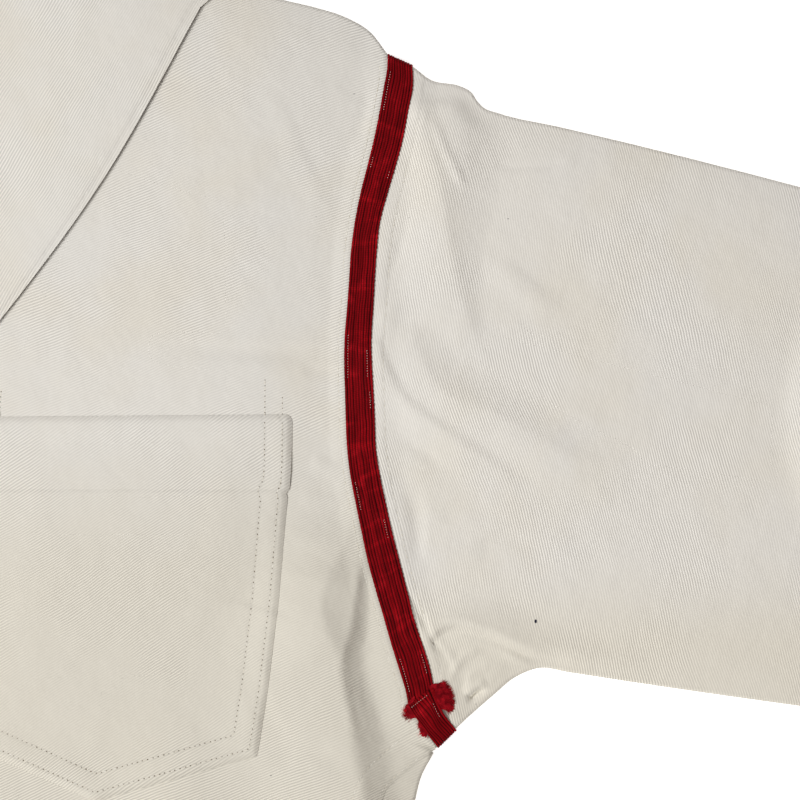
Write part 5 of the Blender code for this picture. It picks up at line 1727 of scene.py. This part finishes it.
@dataclass
class Sewing(SewnPart):
    """All the lockstitch rows.

    Args:
        pocket: The pocket, which has rows of its own.
        hem: The hem's row.
        pocket_rows: How far in from the pocket's edge its two rows are.
    """

    pocket: BreastPocket
    hem: tuple = ((-236.0, -636.5), (0.0, -641.0), (236.0, -636.5))
    pocket_rows: tuple[float, float] = (3.3, 10.1)

    def row(self, whole: BMesh, line: np.ndarray, heights: np.ndarray, kind: Stitch = LOCKSTITCH) -> None:
        """Sews one row.

        Args:
            whole: The mesh that it goes into.
            line: The row's polyline in plan.
            heights: Z of the cloth's outer side along it.
            kind: Its stitches.
        """
        sew(whole, self.pattern.to_frame(np.column_stack([line, heights])), kind)

    def on_front(self, whole: BMesh, line: np.ndarray, side: int = 1, rise: float = 0.0) -> None:
        """Sews a row on the garment's upper side.

        Args:
            whole: The mesh that it goes into.
            line: The row's line on the left half.
            side: 1 for the left half, -1 for the right one.
            rise: How far the cloth is raised there.
        """
        fine = along(line, np.linspace(0, 1, max(8, int(length_of(line) / 1.5)))) * np.array([side, 1])
        self.row(whole, fine, self.relief.top_side(fine) + rise)

    def build(self, thread: Material) -> tuple[Thing, Thing]:
        """Sews the rows of the front and sleeves, then those of the pocket."""
        p = self.pattern
        model = bmesh.new()
        arm = along(p.armhole, np.linspace(0.03, 0.985, 120))
        seam = p.side_seam()[:-4]
        for side, sleeve_row in ((1, 14.9), (-1, 2.4)):
            self.on_front(model, offset_line(arm, -2.7), side, 0.2)
            self.on_front(model, offset_line(arm[:-8], sleeve_row), side)
            self.on_front(model, offset_line(seam, -0.6), side, 0.3)
            self.on_front(model, offset_line(seam, -10.6), side, 0.2)
            self.on_front(model, offset_line(p.cuff, -18.0), side)
        self.on_front(model, np.array(self.hem))
        garment = join_frame(finished("seam_stitches", model, thread))
        model = bmesh.new()
        closed = np.vstack([self.pocket.outline()[:-3], [(196.4, -201.5)]])
        for inset in self.pocket_rows:
            inner = offset_corners(closed, inset)
            for end, before in ((0, 1), (-1, -2)):
                step = inner[end] - inner[before]
                inner[end] += step / np.linalg.norm(step) * (inset + 3.0)
            fine = along(inner, np.linspace(0, 1, 300))
            heights = self.pocket.heights(fine[:, None])[:, 0] + 0.5
            heights = np.where(fine[:, 1] > self.pocket.right[-1][1], self.relief.top_side(fine), heights)
            self.row(model, fine, heights, PIERCED)
        return garment, join_frame(finished("pocket_stitches", model, thread))


def offset_corners(line: np.ndarray, distance: float) -> np.ndarray:
    """A bent line set in to its left with its corners kept.

    Args:
        line: The line's corners.
        distance: How far to the left.

    Returns:
        The new corners.
    """
    step = np.diff(line, axis=0)
    step /= np.linalg.norm(step, axis=1)[:, None]
    normal = pairs(-step[:, 1], step[:, 0])
    moved = [line[0] + normal[0] * distance]
    for k in range(1, len(line) - 1):
        middle = normal[k - 1] + normal[k]
        moved.append(line[k] + middle * distance * 2 / (middle @ middle))
    return np.array(moved + [line[-1] + normal[-1] * distance])


@dataclass
class Studio:
    """The pale floor, the soft lights and the camera.

    Args:
        pattern: The garment, for the way into the shared frame.
        aim: The middle of the view, in pattern millimetres.
        width: Width of the view, in metres.
        height: Height of the camera above the cloth, in metres.
        top: The cloth's height there.
        sensor: Width of the camera's sensor, in millimetres.
        lamps: Each light's name, place from the view's middle, side in metres and power in watts.
        sky: Colour and strength of the light from all round.
        glow: How bright the floor is by itself, so that it stays plain and pale.
    """

    pattern: Pattern
    aim: tuple[float, float] = (238.8, -196.1)
    width: float = 0.3112
    height: float = 1.2
    top: float = 0.006
    sensor: float = 36.0
    lamps: tuple = (
        ("key_light", (-1.4, -0.42, 1.8), 1.1, 58.0),
        ("fill_light", (0.6, 0.4, 2.6), 2.2, 6.0),
    )
    sky: tuple[Colour, float] = ((1.0, 0.915, 0.875, 1.0), 0.29)
    glow: float = 0.7

    def floor(self) -> None:
        """Lays the floor."""
        model = bmesh.new()
        bmesh.ops.create_grid(model, x_segments=8, y_segments=8, size=6.0)
        bmesh.ops.translate(model, vec=(0, 0, -0.0002), verts=model.verts)
        tree = ShaderTree("pale_floor")
        place = tree.node("TexCoord").outputs["Object"]
        soft = tree.mix(tree.noise(place, 3.0), (0.93, 0.93, 0.93, 1.0), (0.95, 0.95, 0.95, 1.0))
        tree.dress(soft, None, 0.9, 0.5, None)
        tree.surface.inputs["Emission Color"].default_value = (1.0, 1.0, 1.0, 1.0)
        tree.surface.inputs["Emission Strength"].default_value = self.glow
        finished("floor", model, tree.material)

    def light(self, name: str, place: tuple, size: float, power: float) -> None:
        """Hangs a square soft light that faces the view's middle.

        Args:
            name: The light's name.
            place: Where it hangs, from the view's middle, in metres.
            size: Its side, in metres.
            power: Its power in watts.
        """
        lamp = bpy.data.lights.new(name, "AREA")
        lamp.shape = "SQUARE"
        lamp.size = size
        lamp.energy = power
        holder = bpy.data.objects.new(name, lamp)
        middle = Vector(self.pattern.to_frame(np.array([*self.aim, 0.0])))
        holder.location = middle + Vector(place)
        holder.rotation_euler = Vector(place).to_track_quat("Z", "Y").to_euler()
        bpy.context.scene.collection.objects.link(holder)

    def build(self) -> None:
        """Sets up the floor, the lights, the surroundings and the camera."""
        self.floor()
        for lamp in self.lamps:
            self.light(*lamp)
        world = bpy.data.worlds.new("studio")
        world.use_nodes = True
        for socket, value in zip(world.node_tree.nodes["Background"].inputs, self.sky):
            socket.default_value = value
        bpy.context.scene.world = world
        bpy.context.scene.view_settings.view_transform = "Standard"
        camera = bpy.data.cameras.new("camera")
        camera.sensor_width = self.sensor
        camera.lens = self.sensor * self.height / self.width
        holder = bpy.data.objects.new("camera", camera)
        x, y, _ = self.pattern.to_frame(np.array([*self.aim, 0.0]))
        holder.location = (x, y, self.height + self.top)
        bpy.context.scene.collection.objects.link(holder)
        bpy.context.scene.camera = holder


NO_ROW = (-9.0, -9.0)
BODY_SPECKS = (
    ((221.0, -77.0), (0.5, 0.35), 0.45),
    ((206.2, -124.9), (0.35, 0.3), 0.3),
    ((188.7, -341.9), (0.5, 0.35), 0.5),
    ((199.9, -110.5), (0.3, 0.25), 0.2),
)
SLEEVE_SPECKS = (
    ((291.6, -282.2), (0.65, 1.0), 1.0),
    ((280.9, -125.6), (0.45, 0.35), 0.5),
    ((268.4, -314.7), (0.3, 0.5), 0.3),
    ((242.3, -125.3), (0.35, 0.3), 0.4),
)


def specks_at(relief: Relief, specks: tuple) -> tuple:
    """Places specks on the upper layer.

    Args:
        relief: The garment's heights.
        specks: Their places on the pattern, half sizes in millimetres and strengths.

    Returns:
        The same in the shared frame, in metres.
    """
    places = relief.pattern.to_frame(relief.place(np.array([place for place, _, _ in specks]), 1.0))
    sizes = [(wide * METRE, tall * METRE) for _, (wide, tall), _ in specks]
    return tuple(zip(places.tolist(), sizes, [strength for _, _, strength in specks]))


def main() -> None:
    """Builds the jumper and its studio."""
    logging.basicConfig(level=logging.INFO, format="%(name)s %(message)s")
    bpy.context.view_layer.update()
    pattern = Pattern()
    relief = Relief(pattern)
    Studio(pattern).build()
    body_drill = CottonDrill("body_drill", Twill.BODY, specks=specks_at(relief, BODY_SPECKS)).make()
    sleeve_drill = CottonDrill(
        "sleeve_drill",
        Twill.SLEEVE,
        light=(0.666, 0.645, 0.596, 1.0),
        dull=(0.652, 0.624, 0.558, 1.0),
        cool=(0.660, 0.643, 0.602, 1.0),
        # the sleeve's own painted shade, darker and yellower towards its bottom
        low_shade=(0.634, 0.600, 0.516, 1.0),
        weave=0.42,
        rows=((14.9, 14.9), NO_ROW, (6.0, 6.0)),
        low_shade_span=(0.070, 0.035),
        specks=specks_at(relief, SLEEVE_SPECKS),
    ).make()
    pocket_drill = CottonDrill("pocket_drill", Twill.POCKET, rows=(NO_ROW, (0.7, 7.6), (2.0, 2.0))).make()
    collar_drill = CottonDrill("collar_drill", Twill.COLLAR).make()
    red = BraidWool("red_braid").make()
    yarn = SpunYarn("red_yarn", (0.46, 0.010, 0.020, 1.0), (0.22, 0.004, 0.009, 1.0)).make()
    thread = SpunYarn("white_thread", (0.68, 0.66, 0.60, 1.0), (0.60, 0.56, 0.47, 1.0)).make()
    front, back = Panels(pattern, relief).build(body_drill)
    sleeve_left, sleeve_right = Sleeves(pattern, relief).build(sleeve_drill)
    collar = Collar(pattern, relief).build(collar_drill)
    patch = BreastPocket(pattern, relief)
    pocket = patch.build(pocket_drill)
    braid, braid_seams = Braid(pattern, relief).build(red, thread)
    tufts = FrayedEnd(pattern, relief).build(yarn)
    seams, pocket_seams = Sewing(pattern, relief, patch).build(thread)


if __name__ == "__main__":
    main()
